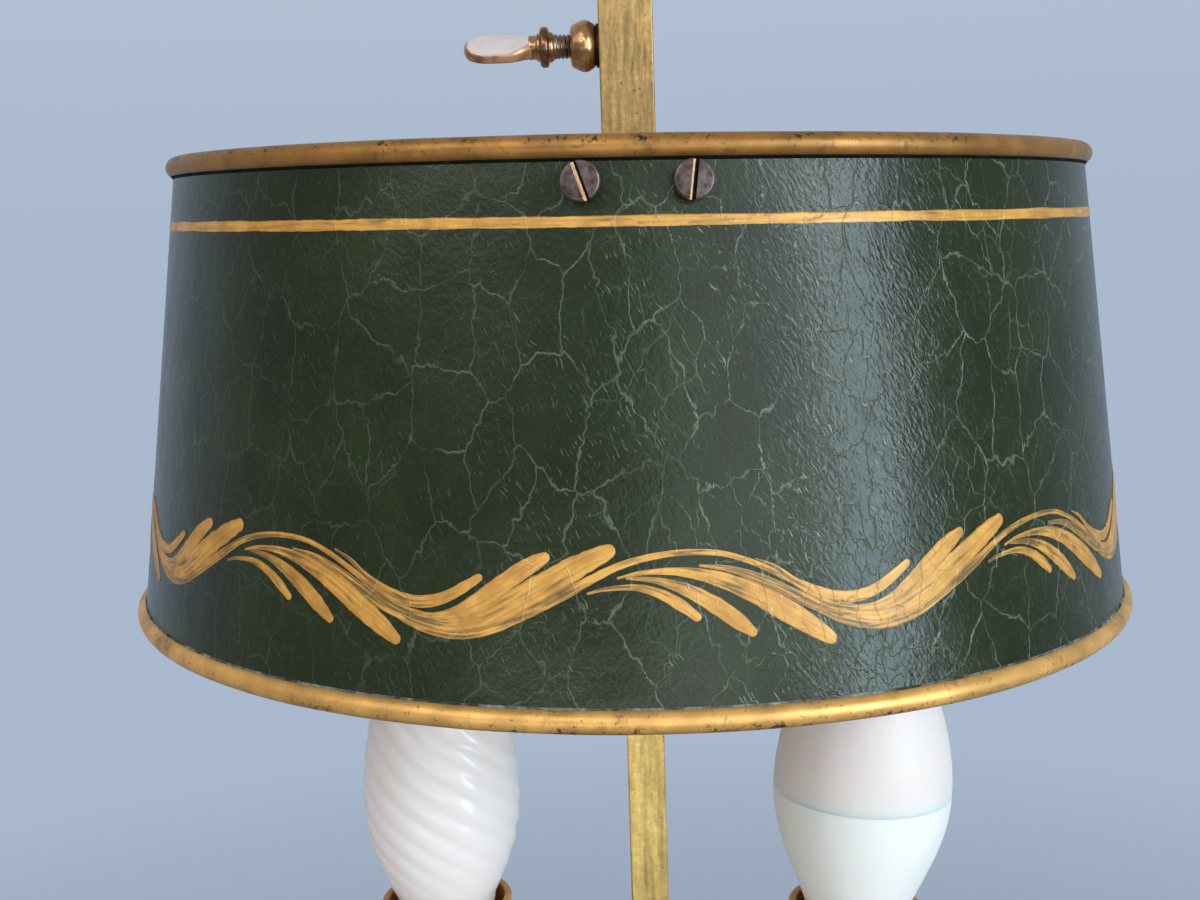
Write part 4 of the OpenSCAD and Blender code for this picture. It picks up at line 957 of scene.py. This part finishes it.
class LAMP_OT_border(Operator):
    """Paints the gold stripe and the leaf border as raised strokes of paint"""

    bl_idname = "lamp.border"
    bl_label = "Stripe and leaf border"

    def execute(self, context):
        shade, border = context.scene.lamp_shade, context.scene.lamp_border
        cone = Cone(shade)
        finish = gold_paint(shade, border)
        surface = shade.wall / 2
        self.stripe(cone, border, surface, finish)
        for unit in range(border.units):
            draw = random.Random(unit)
            turn = border.phase + 2 * math.pi * unit / border.units
            points, faces, marks = [], [], []
            for order, (stroke, knots) in enumerate(STROKES.items()):
                sway = draw.uniform(-0.25, 0.25)
                shifted = [(x + sway, h + 0.6 * sway, w * (1 + 0.2 * sway)) for x, h, w in knots]
                lift = surface + (0.4 + 0.45 * order) * border.paint_t * 0.5
                p, f, m = brush_stroke(cone, shifted, turn, lift, border.paint_t, draw)
                loaded = {"wash": -0.3, "vine": 0.45}.get(stroke, 1)
                faces += [tuple(v + len(points) for v in face) for face in f]
                points += p
                marks += [(u, v, share * loaded, side) for u, v, share, side in m]
            piece(f"leaf_unit_{unit + 1}", points, faces, "shade", finish, cone.frame, 80, marks)
        return {"FINISHED"}

    def stripe(self, cone, border, surface, finish):
        """Hand-drawn stripe with slightly uneven edges."""
        around, across = 900, 6
        h = cone.height - border.stripe_drop
        points, marks = [], []
        levels = [2 * k / across - 1 for k in range(across + 1)]
        crown = [(v, surface + border.paint_t * (1.3 - 0.7 * v * v)) for v in levels]
        under = [(v, surface - 0.0001) for v in reversed(levels)]
        for a in turns(around):
            drift = 0.00012 * self.uneven(a, 4, 1)
            half = border.stripe_w / 2 * (1 + 0.16 * self.uneven(a, 14, 7) + 0.12 * self.uneven(a, 70, 3))
            for v, out in crown + under:
                points.append(cone.local(a, h + drift + v * half, out))
                marks.append((a * cone.low_r / MM, v * half / MM, 0.7, abs(v)))
        faces = grid_faces(around, len(crown + under), close_rows=True)
        outwards(piece("stripe", points, faces, "shade", finish, cone.frame, 80, marks))

    def uneven(self, a, fineness, seed):
        """Smooth noise along the stripe."""
        return noise.noise(Vector(polar(fineness, a, seed)))


class LAMP_OT_shade_screws(Operator):
    """Makes the four slotted screws that hold the shade's bracket"""

    bl_idname = "lamp.shade_screws"
    bl_label = "Shade screws"

    # Turn of each slot in degrees, by the pair's angle from the front and the screw's side in the pair.
    SLOT_TURNS = {(0, -1): 110, (0, 1): 83, (180, -1): 40, (180, 1): 155}

    def execute(self, context):
        shade, metal = context.scene.lamp_shade, context.scene.lamp_metal
        cone = Cone(shade)
        finish = screw_metal(shade, metal)
        h = cone.height - shade.screw_drop
        spread = math.asin(shade.screw_spacing / 2 / cone.radius(h))
        front = shade.wall / 2 + shade.standoff + shade.head_h
        for index, ((back, side), slot_turn) in enumerate(self.SLOT_TURNS.items()):
            around = math.radians(back) + side * spread
            at = (cone.frame @ Matrix.Rotation(around, 4, "Z")
                  @ Matrix.Translation((0, -cone.radius(h), h))
                  @ Matrix.Rotation(math.pi / 2 - cone.slope, 4, "X")
                  @ Matrix.Rotation(math.radians(slot_turn), 4, "Z"))
            screw = self.screw(f"shade_screw_{index + 1}", shade, front, finish, at)
            if index == 0:
                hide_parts("shade_screws")
        return {"FINISHED"}

    def screw(self, name, shade, front, finish, at):
        head, top = shade.head_d / 2 / MM, front / MM
        shank, under = 1.5, (front - shade.head_h) / MM
        line = rounded([(0, -4.4), (shank, -4.4, 0.3), (shank, under), (head - 0.1, under, 0.15),
                        (head, under + 0.5, 0.3), (head, top, 0.42), (0, top + 0.12)])
        screw = lathe(name, line, "shade", finish, at, 64)
        low = (-shade.head_d, -shade.slot_w / 2, front - shade.slot_depth)
        high = (shade.head_d, shade.slot_w / 2, 2 * front)
        cutter = bpy.data.objects.new("slot", bpy.data.meshes.new("slot"))
        cutter.data.from_pydata(box_points(low, high), [], BOX_FACES)
        cutter.matrix_world = at
        bpy.context.scene.collection.objects.link(cutter)
        cut(screw, cutter)
        screw.data.set_sharp_from_angle(angle=math.radians(35))
        return screw


# ---- Operators: sleeve, rod and thumb screw --------------------------------------------------

class LAMP_OT_sleeve_and_rod(Operator):
    """Makes the square sleeve with its boss, and the square rod that it slides on"""

    bl_idname = "lamp.sleeve_and_rod"
    bl_label = "Sleeve and rod"

    def execute(self, context):
        metal, thumb = context.scene.lamp_metal, context.scene.lamp_thumb
        low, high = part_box("sleeve")
        width = high.y - low.y
        rod_low, rod_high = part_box("rod")
        rod_w = rod_high.x - rod_low.x
        dull = brass("sleeve_brass", metal.sleeve, metal, (1300, 1300, 110), 0.62, 0.30)
        points, faces = square_tube(width, rod_w + 0.0003, low.z, high.z)
        sleeve = piece("sleeve_tube", points, faces, "shade", dull)
        bevelled(sleeve, 0.00035)
        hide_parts("sleeve")

        tenon_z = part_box("hub_cap")[1].z
        shoulder_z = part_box("finial")[0].z
        bright = brass("rod_brass", metal.rod, metal, (1100, 1100, 70), 0.66, 0.22, contrast=0.8)
        points, faces = square_tube(rod_w, None, tenon_z, shoulder_z)
        rod = piece("rod_bar", points, faces, "lamp", bright)
        bevelled(rod, 0.0004)
        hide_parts("rod")
        self.boss(metal, thumb, width)
        return {"FINISHED"}

    def boss(self, metal, thumb, width):
        """Rounded boss, with a near-black ring where it meets the sleeve that paints the shadow in that
        joint.
        """
        at = thumb_frame()
        r, bore = thumb.boss_d / 2 / MM, thumb.thread_d / 2 / MM + 0.1
        z0, l = width / 2 / MM, thumb.boss_l / MM
        profile = [(bore, z0 + 0.4), (r - 1.5, z0 + 0.4), (r - 0.75, z0 + 1.0, 0.5), (r, z0 + 2.2, 1.1),
                   (r, z0 + l - 2.4, 1.3), (r - 1.1, z0 + l - 0.3, 1.3), (r - 2.0, z0 + l, 0.5),
                   (bore, z0 + l, 0.3), (bore, z0 + 1)]
        golden = bronze("boss_bronze", metal.boss, toned(metal.bronze, 0.50), 0.13)
        lathe("sleeve_boss", rounded(profile), "shade", golden, at, 96)
        # Painted shadow: a near-black ring in the joint between boss and sleeve.
        painted_joint_shadow = bronze("painted_joint_shadow", (0.05, 0.040, 0.030), (0.018, 0.014, 0.010), 0.5)
        line = rounded([(bore, z0 - 0.2), (r - 0.9, z0 - 0.2), (r - 0.7, z0 + 0.5, 0.4), (bore, z0 + 0.7)])
        lathe("boss_joint_shadow", line, "shade", painted_joint_shadow, at, 96)


def thumb_frame():
    """Frame whose Z runs out of the boss along the thumb screw and whose X points up."""
    turn = joint("thumb_turn")
    return frame_along((0, 0, turn["pos_m"][2]), turn["axis"], (0, 0, 1))


class LAMP_OT_thumb_screw(Operator):
    """Makes the thumb screw: cut thread, collar, neck and flat oval wing"""

    bl_idname = "lamp.thumb_screw"
    bl_label = "Thumb screw"

    def execute(self, context):
        metal, thumb = context.scene.lamp_metal, context.scene.lamp_thumb
        at = thumb_frame()
        low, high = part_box("sleeve")
        boss_end = (high.y - low.y) / 2 + thumb.boss_l
        collar = boss_end + thumb.gap
        neck = collar + thumb.collar_t
        root = neck + thumb.neck_l
        self.thread(thumb, metal, at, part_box("pressure_pad"), collar)
        self.collar(thumb, metal, at, collar, neck, root)
        self.wing(thumb, metal, at, root)
        return {"FINISHED"}

    def thread(self, thumb, metal, at, pad, collar):
        """Screw thread as a real helix, with its run-out under the collar."""
        finish = bronze("thread_bronze", (0.34, 0.25, 0.19), (0.10, 0.07, 0.055), 0.20)
        start, around, step = -pad[0].x + 0.00005, 48, 0.0001
        rows = int((collar - start) / step)
        depth = 0.00036
        points = []
        for i in range(rows + 1):
            z = start + (collar - start) * i / rows
            fade = min(1, (z - start) / 0.0006, max(0, (collar - 0.0011 - z) / 0.0004))
            for k, a in enumerate(turns(around)):
                turned = (z / thumb.pitch - k / around) % 1
                r = thumb.thread_d / 2 - depth * max(fade, 0) * abs(2 * turned - 1)
                points.append(polar(r, a, z))
        faces = capped_faces(rows + 1, around)
        screw = piece("thumb_thread", points, faces, "thumb_screw", finish, at, 50)
        outwards(screw)
        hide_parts("thumb_screw")

    def collar(self, thumb, metal, at, collar, neck, root):
        """Rounded collar between a shoulder and the neck of the wing."""
        r, c, n, w = (v / MM for v in (thumb.collar_d / 2, collar, neck, root))
        base = thumb.thread_d / 2 / MM
        profile = [(0, c - 0.9), (base + 0.1, c - 0.9, 0.1), (base + 0.45, c - 0.45, 0.3),
                   (base + 0.55, c + 0.1, 0.2), (r - 0.45, c + 0.15, 0.5), (r, c + 0.55, 0.6),
                   (r, c + 1.55, 0.6), (r - 0.45, n - 0.65, 0.5), (base + 0.35, n - 0.55, 0.2),
                   (base + 0.3, n - 0.1, 0.2), (base - 0.15, n + 0.2, 0.4), (base - 0.05, w + 0.9, 0.4),
                   (0, w + 1.6)]
        lathe("thumb_collar", rounded(profile), "thumb_screw", collar_bronze(thumb, metal), at, 96)

    def wing(self, thumb, metal, at, root):
        """Flat oval leaf that grows out of a round neck."""
        stations, around, stem = 44, 64, 0.00225
        across = Vector(polar(1, math.pi / 2 - thumb.wing_tilt, 0))
        through = Vector((-across.y, across.x, 0))
        finish = rubbed_wing(metal, through)
        points = []
        for i in range(stations + 1):
            t = i / stations
            u = 1 - (1 - t) ** 1.6
            z = root - 0.0002 + (thumb.wing_l + 0.0002) * u
            swell = 1 / (1 + math.exp(-(u - 0.20) * 16))
            half_w = stem + (thumb.wing_w / 2 - stem) * swell
            half_w *= math.sqrt(max(1 - (1 - min(1.0, (1 - u) / 0.36)) ** 2, 0.0))
            half_t = stem + (thumb.wing_t / 2 - stem) * swell
            half_t *= math.sqrt(max(1 - (1 - min(1.0, (1 - u) / 0.09)) ** 2, 0.0))
            power = 2 + 1.6 * swell
            for a in turns(around):
                c, s = math.cos(a), math.sin(a)
                x = half_w * math.copysign(abs(c) ** (2 / power), c)
                y = half_t * math.copysign(abs(s) ** (2 / power), s)
                points.append(across * x + through * y + Vector((0, 0, z)))
        faces = grid_faces(stations + 1, around) + [tuple(reversed(range(around)))]
        wing = piece("thumb_wing", points, faces, "thumb_screw", finish, at, 75)
        outwards(wing, 1e-6)


# ---- Operators: bulbs and cups ---------------------------------------------------------------

class LAMP_OT_glass_bulb(Operator):
    """Makes the frosted glass bulb with its twisted flutes"""

    bl_idname = "lamp.glass_bulb"
    bl_label = "Glass bulb"

    def execute(self, context):
        light = context.scene.lamp_light
        at = light_frame("left")
        cup_top = light.cup_z + light.cup_h
        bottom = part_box("left_bulb_glass")[0].z - at.translation.z
        tip = cup_top + light.flame_tip
        rows, around = 190, light.flutes * 20
        points = []
        for i in range(rows):
            z = bottom + (tip - bottom) * (1 - (1 - i / (rows - 1)) ** 1.25)
            smooth = self.form(light, z, bottom, cup_top, tip)
            for a in turns(around):
                r = max(smooth + self.flute(light, z, a, cup_top), 0.0)
                points.append((r * math.sin(a), -r * math.cos(a), z))
        bulb = piece("glass_flame", points, capped_faces(rows, around), "left_bulb", frosted_glass(light),
                     at, 60)
        outwards(bulb)
        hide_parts("left_bulb_glass")
        return {"FINISHED"}

    def form(self, light, z, bottom, cup_top, tip):
        """Radius of the smooth flame form."""
        neck, wide, widest = cup_top + 0.001, cup_top + light.flame_wide, light.flame_r - 0.0003
        if z < neck:
            u = (z - bottom) / (neck - bottom)
            return light.cap_r + (light.neck_r - light.cap_r) * math.sin(math.pi / 2 * u)
        if z < wide:
            u = (z - neck) / (wide - neck)
            return light.neck_r + (widest - light.neck_r) * math.sin(math.pi / 2 * u ** 0.9) ** 1.05
        u = (z - wide) / (tip - wide)
        return widest * max(math.cos(math.pi / 2 * u), 0) ** 0.9

    def flute(self, light, z, a, cup_top):
        """Rounded ridges with narrow grooves between them, fading at the neck and tip."""
        u = (z - cup_top - 0.001) / (light.flame_tip - 0.001)
        if u <= 0:
            return 0
        share = min(1, 5 * u) * min(1, 4 * (1 - u))
        wave = math.cos(light.flutes * (a + light.twist * z) / 2)
        return light.flute_depth * share * (math.sqrt(wave * wave + 0.05) - 0.9)


class LAMP_OT_plastic_bulb(Operator):
    """Makes the plastic bulb: white tapered housing, milky dome and the glued seam"""

    bl_idname = "lamp.plastic_bulb"
    bl_label = "Plastic bulb"

    def execute(self, context):
        light = context.scene.lamp_light
        at = light_frame("right")
        cup_top = (light.cup_z + light.cup_h) / MM
        r, neck, cap = light.led_r / MM, light.neck_r / MM, light.cap_r / MM
        seam, tip = cup_top + light.led_seam / MM, cup_top + light.led_tip / MM
        bottom = self.cap_end(at) / MM
        wall, steps, dome_steps = 1.2, 24, 40
        outer = [(cap + 0.6, bottom + 0.1)] + ogee((cap + 1.2, bottom + 1), (neck, cup_top), 8)
        outer += [(neck + (r - neck) * math.sin(math.pi / 2 * t) ** 1.15, cup_top + (seam - cup_top) * t)
                  for t in (i / steps for i in range(1, steps + 1))]
        inner = [(x - wall, z) for x, z in reversed(outer)]
        white = plastic("housing_white", light.housing, 0.38, soft=0.3)
        body = lathe("bulb_housing", rounded(outer + inner), "right_bulb", white, at,
                     160, 50)
        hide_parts("right_bulb_housing")
        dome = [(0, seam + 0.05), (r - 0.02, seam + 0.05)]
        dome += [(r * math.cos(math.pi / 2 * t) ** 0.85, seam + 0.05 + (tip - seam) * t)
                 for t in (i / dome_steps for i in range(1, dome_steps))]
        dome.append((0, tip + 0.05))
        milky = plastic("dome_milky", light.dome, 0.45, grit=400, soft=0.8)
        top = lathe("bulb_dome", rounded(dome), "right_bulb", milky, at, 160, 50)
        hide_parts("right_bulb_diffuser")
        glue = plastic("seam_glue", light.glue, 0.4)
        ring = rounded([(r - 0.6, seam - 0.30), (r - 0.02, seam - 0.28, 0.1), (r, seam + 0.02, 0.2),
                        (r - 0.05, seam + 0.30, 0.1), (r - 0.6, seam + 0.32)])
        lathe("bulb_seam", ring, "right_bulb", glue, at, 160)
        return {"FINISHED"}

    def cap_end(self, at):
        """Distance of the cap's upper end from the end of the arm, along the bulb."""
        corners = frame["nodes"]["right_bulb_cap"].data.vertices
        back = at.inverted()
        return max((back @ v.co).z for v in corners)


class LAMP_OT_candle_cups(Operator):
    """Makes the gilt candle cups with their rolled lips, and the drip pans under them"""

    bl_idname = "lamp.candle_cups"
    bl_label = "Candle cups and pans"

    def execute(self, context):
        light, metal = context.scene.lamp_light, context.scene.lamp_metal
        finish = gilt("cup_gilt", metal, 0.58, 0.6)
        foot, lip, wall = light.foot_r / MM, light.cup_r / MM, light.cup_wall / MM
        z, h = light.cup_z / MM, light.cup_h / MM
        outer = [(foot, z, 0.2)] + [(r, z + y) for r, y in bead(foot, 0.4, 3, 1.4)]
        outer += [(r, z + y) for r, y in ogee((foot, 4), (lip - 1, 15), 12)]
        outer += [(lip - 1, z + h - 6.4)] + [(r, z + y) for r, y in bead(lip - 1, h - 6, h - 4.6, 0.7, 6)]
        outer += [(lip - 1, z + h - 3.8, 0.8), (lip, z + h - 2.2, 1.2), (lip, z + h, 0.7),
                  (lip - wall, z + h, 0.7)]
        inner = [(lip - wall, z + 17), (9.8, z + 9.5, 1.5), (9.8, z + 2), (5.0, z + 2), (5.0, z)]
        for side in ("left", "right"):
            at = light_frame(side)
            cup = lathe(side + "_candle_cup", rounded(outer + inner), "lamp", finish, at, 144)
            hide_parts(side + "_cup")
            self.pan(side, at, finish, z)
        return {"FINISHED"}

    def pan(self, side, at, finish, cup_z):
        """Shallow pan with a rolled edge."""
        r, rise, t = 20, 3.6, 1.4
        z = cup_z - 0.05
        upper = [(5.0, z), (r - 6.2, z, 2)]
        upper += [(x, z + y) for x, y in ogee((r - 5, 0.3), (r - 1.4, rise - 0.9), 10)]
        rolled = [(r - 1.0 + 0.9 * math.cos(a), z + rise - 0.9 + 0.9 * math.sin(a))
                  for a in (math.radians(150 - 30 * k) for k in range(9))]
        lower = [(x + 0.5, z + y - t) for x, y in reversed(ogee((r - 5, 0.3), (r - 1.9, rise - 1.2), 10))]
        lower += [(r - 6.2, z - t, 2), (5.0, z - t)]
        pan = lathe(side + "_pan", rounded(upper + rolled + lower), "lamp", finish, at, 144)
        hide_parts(side + "_drip_pan")


# ---- Operators: the rest of the stand, and the stage -----------------------------------------

class LAMP_OT_stand(Operator):
    """Gives every remaining part its material"""

    bl_idname = "lamp.stand"
    bl_label = "Stand and inner parts"

    def execute(self, context):
        metal = context.scene.lamp_metal
        turned = brass("turned_brass", metal.sleeve, metal, (60, 60, 2600), 0.60, 0.26, 0.45, 0.0002)
        arms = brass("arm_brass", metal.sleeve, metal, (260, 260, 260), 0.60, 0.24, contrast=0.7)
        gilding = gilt("finial_gilt", metal, 0.54, 0.7)
        pale = brass("contact_brass", metal.rod, metal, (500, 500, 500), 0.8, 0.25, contrast=0.5)
        tin = zinc()
        white = plastic("socket_white", (0.78, 0.77, 0.74), 0.35)
        black = plastic("black_plastic", (0.020, 0.020, 0.020), 0.4)
        finishes = {
            turned: ("base_dish", "column", "hub", "switch_knob", "switch_nut"),
            arms: ("left_arm", "right_arm", "left_nipple", "right_nipple", "shade_bracket"),
            gilding: ("hub_cap", "finial", "carrying_ring"),
            pale: ("left_holder_shell", "right_holder_shell", "left_holder_contact", "right_holder_contact",
                   "left_bulb_cap", "right_bulb_cap", "pressure_pad"),
            tin: ("base_nut", "base_washer", "threaded_tube", "left_bulb_contact", "right_bulb_contact",
                  "right_led_board"),
            white: ("terminal_block", "left_holder_body", "right_holder_body"),
            black: ("cord_gland", "switch_body", "left_leads", "right_leads", "switch_leads",
                    "left_bulb_insulator", "right_bulb_insulator"),
            cast_iron(): ("base_weight",),
            felt(): ("base_felt",),
            clear_glass(): ("left_bulb_mount",),
            plastic("circuit_board", (0.02, 0.12, 0.05), 0.4): ("right_driver_board",),
        }
        for finish, nodes in finishes.items():
            for node in nodes:
                thing = frame["nodes"][node]
                if thing.material_slots:
                    for holder in thing.material_slots:
                        holder.material = finish
                else:
                    thing.data.materials.append(finish)
        return {"FINISHED"}


class LAMP_OT_stage(Operator):
    """Sets up the floor, the backdrop colour, the lamps and the camera"""

    bl_idname = "lamp.stage"
    bl_label = "Stage"

    def execute(self, context):
        stage = context.scene.lamp_stage
        context.scene.view_settings.view_transform = "Standard"
        self.world(context.scene, stage)
        self.floor(stage)
        self.lamps(stage)
        self.camera(context.scene, stage)
        return {"FINISHED"}

    def world(self, scene, stage):
        """Even soft light, a backdrop that grows lighter upwards and a neutral room before the lamp."""
        world = bpy.data.worlds.new("studio")
        scene.world = world
        world.use_nodes = True
        nodes, links = world.node_tree.nodes, world.node_tree.links
        shown, soft = nodes["Background"], nodes.new("ShaderNodeBackground")
        place = nodes.new("ShaderNodeTexCoord")
        parts = nodes.new("ShaderNodeSeparateXYZ")
        links.new(place.outputs["Generated"], parts.inputs[0])
        ramps = [nodes.new("ShaderNodeValToRGB") for _ in range(2)]
        ranges = ((0.0, stage.backdrop, 0.18, stage.backdrop_top), (0.10, (1, 1, 1), 0.66, (0, 0, 0)))
        for ramp, axis, (start, first, end, last) in zip(ramps, (2, 1), ranges):
            for element, position, tint in zip(ramp.color_ramp.elements, (start, end), (first, last)):
                element.position, element.color = position, (*tint, 1)
            links.new(parts.outputs[axis], ramp.inputs[0])
        blend = nodes.new("ShaderNodeMix")
        blend.data_type = "RGBA"
        links.new(ramps[1].outputs[0], blend.inputs[0])
        links.new(ramps[0].outputs[0], blend.inputs[6])
        blend.inputs[7].default_value = (*stage.room, 1)
        links.new(blend.outputs[2], shown.inputs[0])
        soft.inputs[0].default_value = (1, 1, 1, 1)
        soft.inputs[1].default_value = stage.ambient
        mixer = nodes.new("ShaderNodeMixShader")
        links.new(seen_directly(world.node_tree), mixer.inputs[0])
        links.new(soft.outputs[0], mixer.inputs[1])
        links.new(shown.outputs[0], mixer.inputs[2])
        links.new(mixer.outputs[0], nodes["World Output"].inputs[0])

    def floor(self, stage):
        """Pale floor that keeps the shadow and fades into the backdrop further out."""
        rings, around, reach = 24, 96, 6.0
        points = [(0, 0, 0)]
        for i in range(1, rings + 1):
            points += [polar(reach * (i / rings) ** 2, a, 0) for a in turns(around)]
        faces = [(0, 1 + k, 1 + (k + 1) % around) for k in range(around)]
        faces += [tuple(v + 1 for v in face) for face in grid_faces(rings, around)]
        mesh = bpy.data.meshes.new("floor")
        mesh.from_pydata(points, [], faces)
        floor = bpy.data.objects.new("floor", mesh)
        floor.location.z = -0.0002
        bpy.context.scene.collection.objects.link(floor)
        f = Finish("floor_paper", stage.backdrop, Roughness=0.8, Specular_IOR_Level=0.1)
        distance = f.off_axis()
        far = f.ramp(distance, ((0.16, 0), (0.60, 1)))
        depth = f.math("DIVIDE", f.parts()[1], f.math("ADD", distance, 0.08))
        tint = f.ramp(depth, ((0.10, stage.room), (0.66, stage.backdrop)))
        f.paint(tint)
        glow = f.node("ShaderNodeEmission", {"Color": tint, "Strength": 1.0})
        factor = f.times(far, seen_directly(f.tree))
        mixer = f.node("ShaderNodeMixShader", {0: factor, 1: f.shader.outputs[0], 2: glow.outputs[0]})
        f.feed(f.tree.nodes["Material Output"].inputs[0], mixer.outputs[0])
        mesh.materials.append(f.material)

    def lamps(self, stage):
        """A tall window at the right, wide soft lights at the front and a small one for sparkle."""
        sky, pale, warm, plain = (0.68, 0.85, 1.0), (0.86, 0.94, 1.0), (1.0, 0.97, 0.91), (1, 1, 1)
        self.area("window", (0.88, -0.77, 0.36), (0.03, -0.08, 0.29), 0.25, 1.0, stage.window * 0.84, sky)
        self.area("glow", (0.97, -0.68, 0.18), (0.03, -0.08, 0.25), 0.16, 0.36, stage.window * 0.12, sky)
        self.area("high", (0.80, -0.88, 0.68), (0.03, -0.08, 0.326), 0.40, 0.25, stage.window * 0.20, pale)
        self.area("haze", (0.45, -1.08, 0.40), (0.02, -0.08, 0.28), 0.8, 0.8, stage.haze, pale)
        self.area("fill", (-0.75, -0.85, 1.05), (0, 0, 0.26), 0.9, 0.9, stage.fill, warm)
        self.area("low", (-0.12, -0.78, 0.06), (0, 0, 0.20), 0.8, 0.22, stage.low, plain)
        self.area("sparkle", (-0.10, -0.75, 0.72), (0, 0, 0.25), 0.05, 0.12, stage.fill * 0.10, plain)

    def area(self, name, place, target, width, height, power, tint):
        data = bpy.data.lights.new(name, "AREA")
        data.shape = "RECTANGLE"
        data.size, data.size_y, data.energy, data.color = width, height, power, tint
        lamp = bpy.data.objects.new(name, data)
        lamp.matrix_world = (Matrix.Translation(place)
                             @ (Vector(place) - Vector(target)).to_track_quat("Z", "Y").to_matrix().to_4x4())
        bpy.context.scene.collection.objects.link(lamp)

    def camera(self, scene, stage):
        level = math.cos(stage.pitch)
        ahead = Vector((math.sin(stage.yaw) * level, math.cos(stage.yaw) * level, -math.sin(stage.pitch)))
        right = Vector((math.cos(stage.yaw), -math.sin(stage.yaw), 0))
        up = right.cross(ahead)
        c, s = math.cos(stage.roll), math.sin(stage.roll)
        turn = Matrix((c * right + s * up, c * up - s * right, -ahead)).transposed().to_4x4()
        data = bpy.data.cameras.new("camera")
        data.sensor_width, data.sensor_fit = 36, "HORIZONTAL"
        data.lens = stage.lens
        data.clip_start = 0.01
        eye = bpy.data.objects.new("camera", data)
        eye.matrix_world = Matrix.Translation(stage.eye) @ turn
        scene.collection.objects.link(eye)
        scene.camera = eye


def seen_directly(tree):
    """Socket that is 1 for rays that should show the backdrop: camera, glossy and transmission rays."""
    path = tree.nodes.new("ShaderNodeLightPath")
    total = path.outputs["Is Camera Ray"]
    for name in ("Is Glossy Ray", "Is Transmission Ray"):
        adder = tree.nodes.new("ShaderNodeMath")
        adder.operation, adder.use_clamp = "ADD", True
        tree.links.new(total, adder.inputs[0])
        tree.links.new(path.outputs[name], adder.inputs[1])
        total = adder.outputs[0]
    return total


class LAMP_PT_panel(Panel):
    """Lists the lamp's steps and settings"""

    bl_idname = "LAMP_PT_panel"
    bl_label = "Bouillotte lamp"
    bl_space_type = "VIEW_3D"
    bl_region_type = "UI"
    bl_category = "Lamp"

    def draw(self, context):
        for step in STEPS:
            self.layout.operator(step.bl_idname)
        for name, group in SETTINGS.items():
            box = self.layout.box()
            for key in group.__annotations__:
                box.prop(getattr(context.scene, name), key)


STEPS = (
    LAMP_OT_stage,
    LAMP_OT_shade_sheet,
    LAMP_OT_rims,
    LAMP_OT_border,
    LAMP_OT_shade_screws,
    LAMP_OT_sleeve_and_rod,
    LAMP_OT_thumb_screw,
    LAMP_OT_glass_bulb,
    LAMP_OT_plastic_bulb,
    LAMP_OT_candle_cups,
    LAMP_OT_stand,
)


def register():
    for group in SETTINGS.values():
        bpy.utils.register_class(group)
    for kind in (*STEPS, LAMP_PT_panel):
        bpy.utils.register_class(kind)
    for name, group in SETTINGS.items():
        setattr(bpy.types.Scene, name, PointerProperty(type=group))


def unregister():
    for name in SETTINGS:
        delattr(bpy.types.Scene, name)
    for kind in (LAMP_PT_panel, *reversed(STEPS), *reversed(SETTINGS.values())):
        bpy.utils.unregister_class(kind)


def main():
    register()
    for step in STEPS:
        group, name = step.bl_idname.split(".")
        getattr(getattr(bpy.ops, group), name)()


if __name__ == "__main__":
    main()
